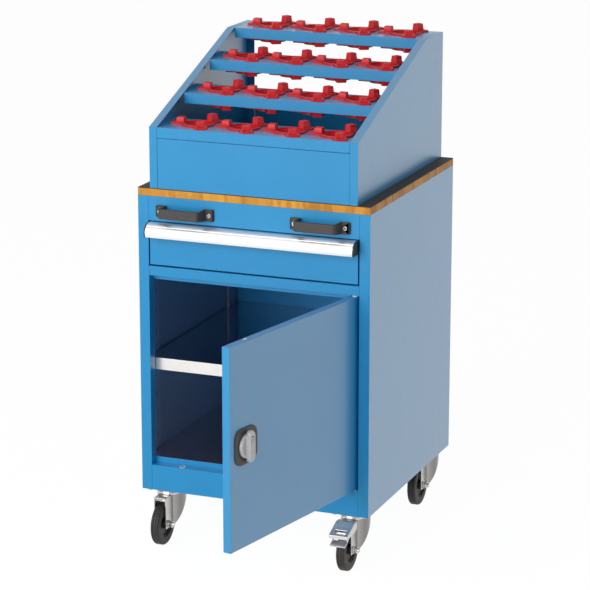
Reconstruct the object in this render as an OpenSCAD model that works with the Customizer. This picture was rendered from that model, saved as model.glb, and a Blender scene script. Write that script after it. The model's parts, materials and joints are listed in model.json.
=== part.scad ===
// Mobile tool cabinet: a sheet-metal body with one drawer and an inset door, a worktop,
// and a stepped rack of tool sockets, on four swivel castors.
// Millimetres, +Z up, the front faces -Y, the floor is z = 0 and the axis is the body's centre.

/* [Body] */
// Width of the body
body_w = 560; // [520:10:640]
// Depth of the body
body_d = 570; // [540:10:640]
// Height of the body without castors and worktop
body_h = 700; // [660:10:800]
// Height of the body's underside above the floor
castor_h = 130; // [128:1:160]
// Thickness of the sheet metal
sheet = 1.5; // [1:0.1:2]
// Width of the front stiles
stile_w = 25; // [22:1:32]
// Depth of the front stiles
stile_d = 27; // [25:1:32]
// Width of the folded edge at the back of each side panel
rear_fold = 25; // [15:1:40]
// Height of the front rail under the door
plinth_h = 61; // [52:1:80]
// Height of the rail between door and drawer
mid_rail_h = 22; // [20:1:30]
// Height of the fixed panel that carries the push handles
fascia_h = 57; // [50:1:70]
// Depth of the folded edges of the front rails
rail_fold = 20; // [12:1:22]
// Gap that is left where sheet parts meet
seam = 0.3; // [0.2:0.1:0.5]
// Height of the stop edge behind the door
stop_h = 14; // [8:1:18]
// How far the bottom sheet lies above the lower edge of the body
base_rise = 4; // [3:0.5:6]

/* [Drawer] */
// Height of the drawer front
drawer_front_h = 100; // [92:1:120]
// Thickness of the drawer front and of the door
front_t = 19; // [17:1:21]
// Gap beside the drawer front
drawer_side_gap = 3.5; // [2:0.5:5]
// Depth of the drawer box
drawer_len = 495; // [440:5:500]
// Height of the drawer box
drawer_box_h = 72; // [55:1:78]
// Length of the runners
runner_len = 480; // [450:5:490]
// Height of the runners' outer member
runner_h = 46; // [36:1:50]
// Gap between the runner's members
runner_gap = 0.4; // [0.3:0.1:0.6]
// Height of the grip profile
grip_h = 31; // [26:1:36]
// How far the grip profile stands out
grip_reach = 32; // [26:1:38]
// Wall of the grip profile
grip_wall = 2; // [1.5:0.1:3]
// Thickness of the grip's end caps
grip_cap_t = 3.5; // [2:0.5:5]

/* [Door] */
// Angle at which the door stands open
door_open = 78; // [0:1:108]
// Gap between door and sill
door_gap_bottom = 1.5; // [1:0.1:3]
// Gap between door and middle rail
door_gap_top = 3; // [2:0.1:4]
// Gap beside the door
door_gap_side = 4; // [4:0.5:6]
// Gap between the closed door and the stop edge
stop_gap = 4; // [4:0.5:6]
// Distance of the hinge axis from the door's edge and from its face
hinge_inset = 8; // [7:0.5:8]
// Radius of the hinge pins
hinge_pin_r = 3; // [2.5:0.1:3.5]
// Length of each hinge pin inside the door
hinge_pin_len = 14; // [10:1:20]
// Running clearance of pins and shafts
running = 0.05; // [0.02:0.01:0.1]

/* [Lock] */
// Distance of the lock's axis from the door's free edge
lock_inset = 56; // [50:1:70]
// Width of the lock surround
surround_w = 80; // [74:1:96]
// Corner radius of the lock surround
surround_r = 22; // [12:1:30]
// Thickness of the lock surround
surround_t = 3; // [2:0.5:5]
// Radius of the turning handle's disc
knob_r = 27; // [24:1:34]
// Thickness of the turning handle's disc
knob_t = 8; // [5:1:12]
// Length of the turning handle's bar
knob_bar_l = 70; // [64:1:82]
// Width of the turning handle's bar
knob_bar_w = 20; // [16:1:24]
// How far the bar stands out from the disc
knob_bar_t = 10; // [8:1:16]
// Radius of the lock cylinder
cylinder_r = 6; // [4:0.5:7]
// Distance of the lock cylinder from the handle's axis
cylinder_offset = 16; // [12:1:22]
// Crank radius of the cam that moves the rods
crank_r = 12; // [11:0.5:13]
// Radius of the locking rods
rod_r = 4; // [3:0.5:4.5]

/* [Shelf] */
// Depth of the shelf's front edge
shelf_lip = 28; // [18:1:34]
// Slot row, counted from below, that the shelf hangs in
shelf_row = 3; // [1:1:5]
// Number of slots in each upright
slot_count = 8; // [7:1:8]
// Distance between the slots
slot_pitch = 50; // [46:1:52]
// Height of the lowest slot above the compartment's floor
slot_first = 33; // [25:1:40]
// Width of the slotted uprights
upright_w = 30; // [24:1:40]
// Depth of the slotted uprights
upright_t = 4; // [3:0.5:5]

/* [Worktop] */
// Thickness of the worktop with its surface layer
worktop_t = 18; // [16:1:40]
// Thickness of the dark surface layer
laminate_t = 1.5; // [1:0.1:3]

/* [Rack] */
// Width of the rack
rack_w = 500; // [480:5:520]
// Height of the rack
rack_h = 300; // [290:5:340]
// Height of the rack's front
rack_front_h = 140; // [134:1:150]
// Depth of the level top of the rack's sides
rack_top_d = 123; // [122:1:130]
// Width of the rack sides' folded edges
rack_fold = 19; // [15:1:26]
// Number of shelves in the rack
rack_rows = 4; // [3:1:4]
// Depth of each rack shelf
rack_shelf_d = 122; // [118:1:122]
// Height of the rack shelves' front edges
rack_lip = 24; // [18:1:26]

/* [Tool sockets] */
// Number of sockets in each shelf
socket_count = 4; // [2:1:4]
// Distance between the sockets
socket_pitch = 111; // [108:1:111]
// Outer radius of the socket's ring
ring_r = 38; // [36:1:40]
// Radius of the socket's upper recess
recess_r = 30; // [28:0.5:30]
// Radius of the socket's bore
socket_r = 23; // [18:0.5:25]
// Outer radius of the socket's body
body_r = 31; // [31:0.5:32]
// Depth of the socket's body below the shelf
body_depth = 36; // [28:1:38]
// Thickness of the socket's flange
flange_t = 4.5; // [3:0.5:6]
// Reach of the socket's three ears
ear_reach = 62; // [56:1:62]
// Width of the ears
ear_w = 30; // [24:1:30]
// Size of the blocks on the ears
block_w = 19; // [15:1:21]

/* [Push handles] */
// Length of each push handle
bow_l = 142; // [130:1:150]
// Height of each push handle at its feet
bow_h = 27; // [22:1:28]
// How far the push handles stand out
bow_reach = 42; // [36:1:46]
// Thickness of the handle's bar
bow_bar = 8; // [7:1:10]
// Length of the handle's feet
bow_foot_l = 19; // [18:1:20]
// Thickness of the handle's feet
bow_foot_t = 7; // [6:0.5:8]
// Distance of the handles' centres from the body's sides
bow_inset = 117; // [100:1:125]

/* [Castors] */
// Radius of the wheels
wheel_r = 50; // [48:1:50]
// Width of the tyres
tyre_w = 21; // [18:1:30]
// Radius of the wheel's rim
rim_r = 31; // [26:1:34]
// Distance of the axle from the swivel axis
trail = 42; // [38:1:44]
// Width of the castor plates
plate_w = 97; // [95:1:105]
// Depth of the castor plates
plate_d = 80; // [74:1:80]
// Thickness of the castor plates
plate_t = 3; // [2:0.5:4]
// Thickness of the fork's steel
fork_t = 3; // [2:0.5:3]
// Radius of the axles
axle_r = 5; // [4:0.5:6]
// Radius of the king pins
king_r = 6; // [5:0.5:7]

/* [Screws] */
// Radius of the fixing screws
screw_r = 2.5; // [2:0.1:3]
// Radius of the screw heads
screw_head_r = 5; // [4:0.5:5.5]
// Height of the screw heads
screw_head_t = 3; // [2:0.5:3.5]
// Radius of the castor bolts
bolt_r = 4; // [3:0.5:4]

/* [Hidden] */
$fn = 64;

blue = [0.08, 0.36, 0.68];
navy = [0.07, 0.28, 0.52];
zinc = [0.72, 0.71, 0.69];
dark = [0.19, 0.18, 0.17];
red = [0.80, 0.06, 0.08];
wood = [0.80, 0.55, 0.24];
white = [0.90, 0.90, 0.90];

// Overshoot of cuts
over = 1;

// Body: half sizes, faces and levels
hx = body_w / 2;
hy = body_d / 2;
inner_x = hx - sheet;
panel_x = inner_x - seam;
open_x = hx - stile_w;
rail_x = open_x - seam;
stile_back = -hy + stile_d + seam;
back_y = hy - 2 * sheet;
fold = 15;
z_body = castor_h;
z_top = z_body + body_h;
z_base = z_body + base_rise;
z_sill = z_body + plinth_h;
z_floor = z_sill + stop_h;
z_fascia = z_top - fascia_h;
stop_y = -hy + front_t + stop_gap;

// Drawer
drawer_gap_top = 2;
drawer_gap_bottom = 4;
z_drawer = z_fascia - drawer_gap_top - drawer_front_h;
z_mid_top = z_drawer - drawer_gap_bottom;
z_mid = z_mid_top - mid_rail_h;
drawer_x = open_x - drawer_side_gap;
runner_room = 12;
box_rise = 6;
box_x = drawer_x - runner_room;
box_z = z_drawer + box_rise;
member_t = 1.5;
member_web_gap = 0.9;
runner_z = box_z + drawer_box_h / 2;
middle_h = runner_h - 2 * member_t - 2 * runner_gap;
inner_h = middle_h - 2 * member_t - 2 * runner_gap;
rail_web = box_x + runner_room;
middle_web = rail_web - member_t - member_web_gap;
runner_y = stop_y;
outer_flange = 8.5;
middle_flange = 6.6;
inner_flange = 6.8;
grip_x = drawer_x + 1;
grip_z = z_drawer + drawer_front_h - grip_h;
grip_top = 9.5;
grip_round = grip_reach - grip_top;
grip_return = grip_reach - 10;

// Door
door_x = open_x - door_gap_side;
door_z0 = z_sill + door_gap_bottom;
door_z1 = z_mid - door_gap_top;
hinge = [door_x - hinge_inset, -hy + hinge_inset];
bush_r = hinge_pin_r + 2;
bush_flange_r = bush_r + 2;
pin_head_t = 3;
lock_x = -(door_x - lock_inset);
lock_z = (door_z0 + door_z1) / 2;
rod_shift = 14;
rod_x = lock_x + rod_shift;
rod_y = -hy + front_t / 2;
rod_proud = 2.5;
rod_low = 1;
strike_r = rod_r + 1;

// Lock: places along the door's thickness, from its outer face inwards
surround_y = -hy - surround_t;
dish_depth = 1.5;
dish_r = knob_r + 3;
knob_y = surround_y + dish_depth - seam;
bar_y = knob_y - knob_t;
bar_front = bar_y - knob_bar_t;
sleeve_r = 7.5;
spindle_r = 3.5;
cam_y = -hy + 4;
cam_t = 3;
cam_r = 16;
cam_pin_r = 2;
yoke_gap = 0.5;
yoke_t = 4;
yoke_y0 = cam_y + cam_t + yoke_gap;
yoke_y1 = yoke_y0 + yoke_t;
yoke_clear = 0.6;
pin_off = crank_r * sin(45);

// Shelf and its uprights
upright_face = inner_x - upright_t;
upright_front = 77;
upright_rear = 53;
upright_foot_gap = 5;
upright_y = [-hy + upright_front, hy - upright_rear];
slot_h = 18;
slot_w = 3.2;
clip_rise = 26;
shelf_side_gap = 0.5;
shelf_front_gap = 2;
shelf_back_gap = 3;
shelf_x = upright_face - shelf_side_gap;
shelf_y0 = stile_back + shelf_front_gap;
shelf_y1 = back_y - shelf_back_gap;
slot_z = z_floor + slot_first + shelf_row * slot_pitch;
shelf_rest = slot_z + clip_rise;
shelf_z = shelf_rest + shelf_lip;
clip_w = 16;

// Worktop and rack
board_top = z_top + worktop_t - laminate_t;
z_rack = z_top + worktop_t;
rx = rack_w / 2;
wide_x = rx - sheet - seam;
narrow_x = rx - rack_fold - seam;
slope_y = hy - rack_top_d;
slope = atan((rack_h - rack_front_h) / (slope_y + hy));
step_y = (slope_y + hy) / (rack_rows - 1);
step_z = (rack_h - rack_front_h) / (rack_rows - 1);
wing_back = 8;
socket_shift = 9.5;
socket_x0 = socket_shift - (socket_count - 1) / 2 * socket_pitch;
socket_y = rack_shelf_d / 2 + 1.5;
rack_panel_gap = 1;
rack_panel_back = 0.7;
ear_angles = [180, 300, 60];
block_heights = [11.5, 9.5, 16];
ear_chamfer = 2.5;
body_reach = ear_reach - 5;
body_ear_w = ear_w - 7;

// Castors
castor_x = panel_x - plate_w / 2;
castor_y = back_y - seam - plate_d / 2;
head_room = 15;
crown_z = z_base - plate_t - head_room;
crown_ring_t = 3;
crown_ring_r = 29;
cup_gap = 0.4;
fork_w = tyre_w / 2 + 5;
fork_front = -trail - 15;
fork_r = 34;
fork_back = 12;
fork_foot = wheel_r - 9;
fork_foot_y = -trail + 25;
fork_lean = 0.611;
hub_half = fork_w - fork_t - seam;
bolt_x = plate_w / 2 - 12.5;
bolt_y = plate_d / 2 - 10;

// Brake on the front right castor
hood_t = 2;
hood_x = fork_w + 7;
hood_reach = 45;
hood_drop = 15;
hood_depth = 23;
hood_tip = [fork_front - hood_reach, crown_z - hood_drop];
brake_pin = [fork_front - 17, crown_z - 16];
brake_pin_r = 3;
brake_angle = 15;
blade_x = hood_x - 4;
blade_back = 13;
blade_low = 15;
blade_run = 17;
blade_drop = 8;

screw_depth = 12;
board_screw = [200, 200];
rack_screw_y = 180;
bow_x = hx - bow_inset;
bow_rise = 5;
handle_screw_x = bow_l / 2 - 11;
handle_rise = 24;
handle_z = z_fascia + handle_rise;
counterbore = 1.5;

module box(low, high) {
    translate(low) cube([high[0] - low[0], high[1] - low[1], high[2] - low[2]]);
}

module both_sides() {
    children();
    mirror([1, 0, 0]) children();
}

// A round bar along X, Y or Z that starts at p
module bar_x(p, r, l) {
    translate(p) rotate([0, 90, 0]) cylinder(r = r, h = l);
}

module bar_y(p, r, l) {
    translate(p) rotate([-90, 0, 0]) cylinder(r = r, h = l);
}

module bar_z(p, r, l) {
    translate(p) cylinder(r = r, h = l);
}

// A profile drawn in Y and Z, drawn out along X from x0 to x1
module along_x(x0, x1) {
    translate([x0, 0, 0]) rotate([90, 0, 90]) linear_extrude(x1 - x0) children();
}

// A profile drawn in X and Z, drawn out along Y from y0 to y1
module along_y(y0, y1) {
    translate([0, y1, 0]) rotate([90, 0, 0]) linear_extrude(y1 - y0) children();
}

module rounded(w, h, r) {
    square([w, h - 2 * r], center = true);
    square([w - 2 * r, h], center = true);
    for (x = [-1, 1], y = [-1, 1])
        translate([x * (w / 2 - r), y * (h / 2 - r)]) circle(r);
}

// A sheet tray with a front face and folded edges that point to +Y
module tray(half_w, z0, z1, depth) {
    difference() {
        box([-half_w, -hy, z0], [half_w, -hy + depth, z1]);
        box([-half_w + sheet, -hy + sheet, z0 + sheet],
            [half_w - sheet, -hy + depth + over, z1 - sheet]);
    }
}

// A level sheet across the body, cut out round the stiles
module level_sheet(y0, z) {
    difference() {
        box([-panel_x, y0, z], [panel_x, back_y - seam, z + sheet]);
        both_sides()
            box([rail_x, y0 - over, z - over], [hx, stile_back, z + sheet + over]);
    }
}

// The stile's inner fold ends above the base panel
module side_panel() {
    color(blue) difference() {
        translate([0, 0, z_body]) linear_extrude(body_h) {
            translate([inner_x, -hy]) square([sheet, body_d]);
            translate([open_x, -hy]) square([stile_w, sheet]);
            translate([open_x, -hy]) square([sheet, stile_d]);
            translate([hx - rear_fold, hy - sheet]) square([rear_fold, sheet]);
        }
        box([open_x - over, -hy + sheet, z_body - over],
            [open_x + sheet + over, stile_back + over, z_base + sheet + seam]);
    }
}

module side_panel_right() {
    side_panel();
}

module side_panel_left() {
    mirror([1, 0, 0]) side_panel();
}

module back_panel() {
    color(blue) box([-panel_x, back_y, z_body], [panel_x, hy - sheet, z_top]);
}

module castor_places() {
    for (x = [-castor_x, castor_x], y = [-castor_y, castor_y])
        translate([x, y, 0]) children();
}

module bolt_places() {
    castor_places()
        for (x = [-bolt_x, bolt_x], y = [-bolt_y, bolt_y])
            translate([x, y, 0]) children();
}

module base_panel() {
    color(navy) difference() {
        union() {
            box([-panel_x, -hy + sheet, z_base], [panel_x, back_y - seam, z_base + sheet]);
            both_sides()
                box([panel_x - sheet, stile_back, z_base], [panel_x, back_y - seam, z_base + fold]);
        }
        bolt_places() bar_z([0, 0, z_base - over], bolt_r + seam, sheet + 2 * over);
    }
}

module floor_panel() {
    color(navy) {
        level_sheet(stop_y, z_floor - sheet);
        box([-rail_x, stop_y, z_sill], [rail_x, stop_y + sheet, z_floor]);
        both_sides()
            box([panel_x - sheet, stile_back, z_floor - fold], [panel_x, back_y - seam, z_floor]);
    }
}

// Holes for the hinge pin and the locking rod in a level flange of a rail
module door_holes(z) {
    bar_z([hinge[0], hinge[1], z - over], hinge_pin_r + running, sheet + 2 * over);
    bar_z([rod_x, rod_y, z - over], strike_r, sheet + 2 * over);
}

module plinth_rail() {
    color(blue) difference() {
        union() {
            box([-rail_x, -hy, z_body], [rail_x, -hy + sheet, z_sill]);
            box([-rail_x, -hy, z_sill - sheet], [rail_x, stop_y + sheet, z_sill]);
        }
        door_holes(z_sill - sheet);
    }
}

module mid_rail() {
    color(blue) difference() {
        union() {
            box([-rail_x, -hy, z_mid], [rail_x, -hy + sheet, z_mid_top]);
            box([-rail_x, -hy, z_mid], [rail_x, stop_y + sheet, z_mid + sheet]);
            box([-rail_x, stop_y, z_mid - stop_h], [rail_x, stop_y + sheet, z_mid + sheet]);
            box([-rail_x, -hy, z_mid_top - sheet], [rail_x, -hy + rail_fold, z_mid_top]);
        }
        door_holes(z_mid);
    }
}

module handle_screw_places() {
    for (x = [-bow_x, bow_x], s = [-1, 1])
        translate([x + s * handle_screw_x, 0, handle_z]) children();
}

module handle_fascia() {
    color(blue) difference() {
        union() {
            box([-rail_x, -hy, z_fascia], [rail_x, -hy + sheet, z_top]);
            box([-rail_x, -hy, z_fascia], [rail_x, -hy + rail_fold, z_fascia + sheet]);
            box([-rail_x, -hy, z_top - 2 * sheet], [rail_x, -hy + rail_fold, z_top - sheet]);
        }
        handle_screw_places()
            bar_y([0, -hy - over, 0], screw_r + running, sheet + 2 * over);
    }
}

module board_screw_places() {
    for (x = [-1, 1], y = [-1, 1])
        translate([x * board_screw[0], y * board_screw[1], 0]) children();
}

module top_panel() {
    color(navy) difference() {
        level_sheet(-hy + sheet, z_top - sheet);
        board_screw_places() bar_z([0, 0, z_top - sheet - over], screw_r + seam, sheet + 2 * over);
    }
}

// A hooked slot, drawn in Y and Z about its middle
module slot_outline() {
    square([slot_w, slot_h], center = true);
    translate([-slot_w / 2, slot_h / 2 - slot_w]) square([slot_w * 2.6, slot_w]);
}

module upright(y) {
    difference() {
        box([upright_face, y - upright_w / 2, z_floor + upright_foot_gap],
            [inner_x, y + upright_w / 2, z_mid]);
        box([upright_face + sheet, y - upright_w / 2 + sheet, z_floor - over],
            [inner_x + over, y + upright_w / 2 - sheet, z_mid + over]);
        along_x(upright_face - over, upright_face + sheet + over)
            for (k = [0 : slot_count - 1])
                translate([y, z_floor + slot_first + k * slot_pitch]) slot_outline();
    }
}

module shelf_uprights() {
    color(navy) both_sides() for (y = upright_y) upright(y);
}

module shelf() {
    color(white) difference() {
        box([-shelf_x, shelf_y0, shelf_rest], [shelf_x, shelf_y1, shelf_z]);
        box([-shelf_x + sheet, shelf_y0 + sheet, shelf_rest - over],
            [shelf_x - sheet, shelf_y1 - sheet, shelf_z - sheet]);
    }
}

// A clip: its hook goes through a slot, and the shelf's edge rests on its lug
module clip(y) {
    hook_h = 10;
    hook_w = slot_w - 2 * seam;
    lug_t = 8;
    lug_reach = 10;
    back_t = 2;
    box([upright_face - back_t, y - clip_w / 2, slot_z - hook_h / 2],
        [upright_face, y + clip_w / 2, shelf_rest]);
    box([upright_face - lug_reach, y - clip_w / 2, shelf_rest - lug_t],
        [upright_face, y + clip_w / 2, shelf_rest]);
    box([upright_face - back_t, y - hook_w / 2, slot_z - hook_h / 2],
        [upright_face + sheet + 0.8, y + hook_w / 2, slot_z + hook_h / 2]);
}

module shelf_clips() {
    color(zinc) both_sides() for (y = upright_y) clip(y);
}

module rack_screw_places() {
    for (x = [-1, 1], y = [-1, 1])
        translate([x * (rx - rack_fold / 2), y * rack_screw_y, 0]) children();
}

module worktop_holes() {
    board_screw_places() bar_z([0, 0, z_top - over], screw_r + running, screw_depth + over);
    rack_screw_places() bar_z([0, 0, z_rack - screw_depth], screw_r + running, screw_depth + over);
}

module worktop_board() {
    color(wood) difference() {
        box([-hx, -hy, z_top], [hx, hy, board_top]);
        worktop_holes();
    }
}

module worktop_laminate() {
    color(dark) difference() {
        box([-hx, -hy, board_top], [hx, hy, z_rack]);
        worktop_holes();
    }
}

// A screw that points to +Z: its head ends at z = 0 and its shank reaches l
module screw(l) {
    translate([0, 0, -screw_head_t]) difference() {
        cylinder(r = screw_head_r, h = screw_head_t);
        translate([0, 0, -over]) cylinder(r = screw_r, h = over + screw_head_t / 2, $fn = 6);
    }
    cylinder(r = screw_r, h = l);
}

module fixing_screws() {
    color(zinc) {
        board_screw_places()
            translate([0, 0, z_top - sheet]) screw(sheet + screw_depth - over);
        rack_screw_places()
            translate([0, 0, z_rack + sheet]) mirror([0, 0, 1]) screw(sheet + screw_depth - over);
        handle_screw_places()
            translate([0, -hy - bow_foot_t + counterbore, 0]) rotate([-90, 0, 0])
                screw(bow_foot_t - counterbore + sheet + 4);
    }
}

// The rack side's outline, and the same drawn in by the sheet's thickness
function rack_outline() = [
    [-hy, 0], [-hy, rack_front_h], [slope_y, rack_h], [hy, rack_h], [hy, 0]
];

function rack_inset(t) = [
    [-hy + t, t],
    [-hy + t, rack_front_h + t * tan(slope) - t / cos(slope)],
    [-hy + (rack_h - rack_front_h - t + t / cos(slope)) / tan(slope), rack_h - t],
    [hy - t, rack_h - t],
    [hy - t, t]
];

module rack_side() {
    hook_depth = 0.8;
    hook_back = 14;
    hook_drop = 22;
    color(blue) difference() {
        translate([0, 0, z_rack]) difference() {
            along_x(rx - rack_fold, rx) polygon(rack_outline());
            along_x(rx - rack_fold - over, rx - sheet) polygon(rack_inset(sheet));
            for (k = [1 : rack_rows - 1])
                along_x(rx - sheet - over, rx - sheet + hook_depth)
                    translate([-hy + k * step_y - hook_back, rack_front_h + k * step_z - hook_drop])
                        square([slot_w, slot_h / 2]);
        }
        rack_screw_places() bar_z([0, 0, z_rack - over], screw_r + seam, sheet + 2 * over);
    }
}

module rack_side_right() {
    rack_side();
}

module rack_side_left() {
    mirror([1, 0, 0]) rack_side();
}

module rack_front_panel() {
    panel_top = z_rack + rack_front_h - rack_lip - rack_panel_gap;
    front = -hy + rack_panel_back;
    top_fold = 3;
    color(blue) {
        box([-narrow_x, front, z_rack], [narrow_x, front + sheet, panel_top]);
        box([-narrow_x, front, z_rack], [narrow_x, front + rail_fold, z_rack + sheet]);
        box([-narrow_x, front, panel_top - sheet], [narrow_x, front + top_fold, panel_top]);
    }
}

module rack_back_panel() {
    panel_top = z_rack + rack_front_h - rack_lip - seam;
    color(blue) {
        box([-narrow_x, hy - sheet, z_rack], [narrow_x, hy, panel_top]);
        box([-narrow_x, hy - rail_fold, z_rack], [narrow_x, hy, z_rack + sheet]);
        box([-narrow_x, hy - rail_fold, panel_top - sheet], [narrow_x, hy, panel_top]);
    }
}

module socket_places(k) {
    for (i = [0 : socket_count - 1])
        translate([socket_x0 + i * socket_pitch, -hy + k * step_y + socket_y,
                   z_rack + rack_front_h + k * step_z])
            children();
}

// One rack shelf: the last one lies between the folded edges of the rack's sides
module rack_shelf(k) {
    y = -hy + k * step_y;
    z = z_rack + rack_front_h + k * step_z;
    last = k == rack_rows - 1;
    end_x = last ? narrow_x : wide_x;
    end_y = last ? y : y + wing_back;
    rear = y + rack_shelf_d;
    difference() {
        union() {
            box([-narrow_x, y, z - sheet], [narrow_x, rear, z]);
            box([-end_x, end_y, z - sheet], [end_x, rear, z]);
            box([-narrow_x, y, z - rack_lip], [narrow_x, y + sheet, z]);
            box([-end_x, rear - sheet, z - rack_lip], [end_x, rear, z]);
            both_sides()
                box([end_x - sheet, end_y, z - rack_lip], [end_x, rear, z]);
        }
        socket_places(k) translate([0, 0, -sheet - over]) linear_extrude(sheet + 2 * over)
            insert_outline(body_r + seam, body_reach + seam, body_ear_w + 2 * seam);
    }
}

module rack_shelves() {
    color(blue) for (k = [0 : rack_rows - 1]) rack_shelf(k);
}

// A block with sides that lean in towards its top
module taper_block(l, w, h, lean) {
    intersection() {
        along_y(-w / 2, w / 2)
            polygon([[-l / 2, 0], [l / 2, 0], [l / 2 - lean, h], [-l / 2 + lean, h]]);
        along_x(-l / 2, l / 2)
            polygon([[-w / 2, 0], [w / 2, 0], [w / 2 - lean, h], [-w / 2 + lean, h]]);
    }
}

// A socket's outline seen from above: a disc with three ears
module insert_outline(r, reach, w) {
    circle(r);
    for (angle = ear_angles) rotate(angle)
        polygon([[0, -w / 2], [reach - ear_chamfer, -w / 2], [reach, -w / 2 + ear_chamfer],
                 [reach, w / 2 - ear_chamfer], [reach - ear_chamfer, w / 2], [0, w / 2]]);
}

// One tool insert, with the shelf's upper face at z = 0
module tool_insert() {
    lead_in = 12;
    lead_r = recess_r - 4;
    lean = 1.5;
    ledge = 1;
    block_l = block_w + 1;
    block_x = recess_r + 0.6 + block_l / 2;
    block_sink = 0.5;
    difference() {
        union() {
            linear_extrude(flange_t) insert_outline(ring_r, ear_reach, ear_w);
            translate([0, 0, -body_depth]) linear_extrude(body_depth + ledge / 2)
                insert_outline(body_r, body_reach, body_ear_w);
            for (n = [0 : 2]) rotate([0, 0, ear_angles[n]])
                translate([block_x, 0, flange_t - block_sink])
                    taper_block(block_l, block_w, block_heights[n] + block_sink, lean);
        }
        translate([0, 0, ledge]) cylinder(r = recess_r, h = ear_reach);
        translate([0, 0, -lead_in]) cylinder(r1 = socket_r, r2 = lead_r, h = lead_in + ledge);
        translate([0, 0, -ear_reach]) cylinder(r = socket_r, h = 2 * ear_reach);
    }
}

module tool_inserts() {
    color(red) for (k = [0 : rack_rows - 1]) socket_places(k) tool_insert();
}

// Half of the push handle's outline seen from above: its outer and inner edge
function bow_outer() = let (l = bow_l / 2, f = l - bow_foot_l, t = bow_foot_t, r = bow_reach) [
    [l, 0], [l, t - 2], [l - 2, t], [f + 2, t], [f, t + 2],
    [f - 1, r - 8], [f - 3.5, r - 2.5], [f - 8, r]
];

function bow_inner() = let (f = bow_l / 2 - bow_foot_l - 6, d = bow_reach - bow_bar) [
    [f - 5, d], [f - 1.5, d - 1.5], [f, d - 5], [f, 0]
];

function mirrored(points) = [for (i = [len(points) - 1 : -1 : 0]) [-points[i][0], points[i][1]]];

// The bar's lower edge lies higher than the feet's
module push_handle(x) {
    outer = bow_outer();
    inner = bow_inner();
    h = bow_h / 2;
    corner_r = 7;
    color(dark) translate([x, -hy, handle_z]) difference() {
        intersection() {
            translate([0, 0, -bow_h]) mirror([0, 1, 0]) linear_extrude(2 * bow_h)
                polygon(concat(outer, mirrored(outer), mirrored(inner), inner));
            along_x(-bow_l, bow_l) polygon([
                [over, -h], [-bow_foot_t, -h], [-bow_reach - over, -h + bow_rise],
                [-bow_reach - over, h], [over, h]
            ]);
            along_y(-bow_reach - 2 * over, 2 * over)
                rounded(bow_l + 2 * over, bow_h + 2 * over, corner_r);
        }
        for (s = [-1, 1]) {
            bar_y([s * handle_screw_x, -bow_foot_t - over, 0], screw_r + running,
                  bow_foot_t + 2 * over);
            bar_y([s * handle_screw_x, -bow_foot_t - over, 0], screw_head_r + seam,
                  counterbore + over);
        }
    }
}

module push_handle_left() {
    push_handle(-bow_x);
}

module push_handle_right() {
    push_handle(bow_x);
}

// A runner member of the right side: a channel with its web at x and its flanges towards x1
module member(x, x1, h) {
    w0 = min(x, x1);
    w1 = max(x, x1);
    cut0 = x < x1 ? w0 + member_t : w0 - over;
    cut1 = x < x1 ? w1 + over : w1 - member_t;
    difference() {
        box([w0, runner_y, runner_z - h / 2], [w1, runner_y + runner_len, runner_z + h / 2]);
        box([cut0, runner_y - over, runner_z - h / 2 + member_t],
            [cut1, runner_y + runner_len + over, runner_z + h / 2 - member_t]);
    }
}

// The cabinet's member stands off the side panel on two brackets
module cabinet_runners() {
    bracket_l = 30;
    bracket_inset = 15;
    low = runner_z - runner_h / 2;
    high = runner_z + runner_h / 2;
    color(zinc) both_sides() {
        member(rail_web, rail_web - outer_flange, runner_h);
        for (y = [runner_y + bracket_inset, runner_y + runner_len - bracket_inset - bracket_l])
            difference() {
                box([rail_web, y, low], [inner_x, y + bracket_l, high]);
                box([rail_web + member_t, y - over, low + member_t],
                    [inner_x - member_t, y + bracket_l + over, high - member_t]);
            }
    }
}

module middle_runners() {
    color(zinc) both_sides() member(middle_web, middle_web - middle_flange, middle_h);
}

module drawer_runners() {
    color(zinc) both_sides() member(box_x, box_x + inner_flange, inner_h);
}

module drawer_box() {
    y0 = -hy + sheet;
    color(navy) difference() {
        box([-box_x, y0, box_z], [box_x, y0 + drawer_len, box_z + drawer_box_h]);
        box([-box_x + sheet, y0 + sheet, box_z + sheet],
            [box_x - sheet, y0 + drawer_len - sheet, box_z + drawer_box_h + over]);
    }
}

module drawer_front() {
    color(blue) tray(drawer_x, z_drawer, z_drawer + drawer_front_h, front_t);
}

// The grip's outline, seen from the side: depth towards the front, height above its foot
module grip_disc(r) {
    translate([grip_reach - grip_round, grip_h - grip_round]) circle(r);
}

module grip_front_half() {
    translate([grip_reach - grip_round, 0]) square([grip_round + over, grip_h + over]);
}

module grip_outline() {
    square([grip_reach - grip_round, grip_h]);
    intersection() {
        grip_disc(grip_round);
        grip_front_half();
    }
}

module grip_profile() {
    groove_angle = 47;
    groove_size = 1.4;
    square([grip_wall, grip_h]);
    translate([0, grip_h - grip_wall]) square([grip_reach - grip_round, grip_wall]);
    difference() {
        intersection() {
            grip_disc(grip_round);
            grip_front_half();
        }
        grip_disc(grip_round - grip_wall);
        translate([grip_reach - grip_round, grip_h - grip_round]) rotate(groove_angle)
            translate([grip_round, 0]) square(groove_size, center = true);
    }
    intersection() {
        grip_disc(grip_round);
        translate([grip_return, 0]) square([grip_reach, grip_wall]);
    }
}

module grip_place(x0, x1) {
    translate([0, -hy, grip_z]) mirror([0, 1, 0]) along_x(x0, x1) children();
}

module drawer_grip() {
    color(white) grip_place(-grip_x + grip_cap_t, grip_x - grip_cap_t) grip_profile();
}

module grip_end_caps() {
    color(dark) {
        grip_place(-grip_x, -grip_x + grip_cap_t) grip_outline();
        grip_place(grip_x - grip_cap_t, grip_x) grip_outline();
    }
}

// Turns what is drawn on the closed door to where the door stands
module opened() {
    translate([hinge[0], hinge[1], 0]) rotate([0, 0, door_open])
        translate([-hinge[0], -hinge[1], 0]) children();
}

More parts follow.
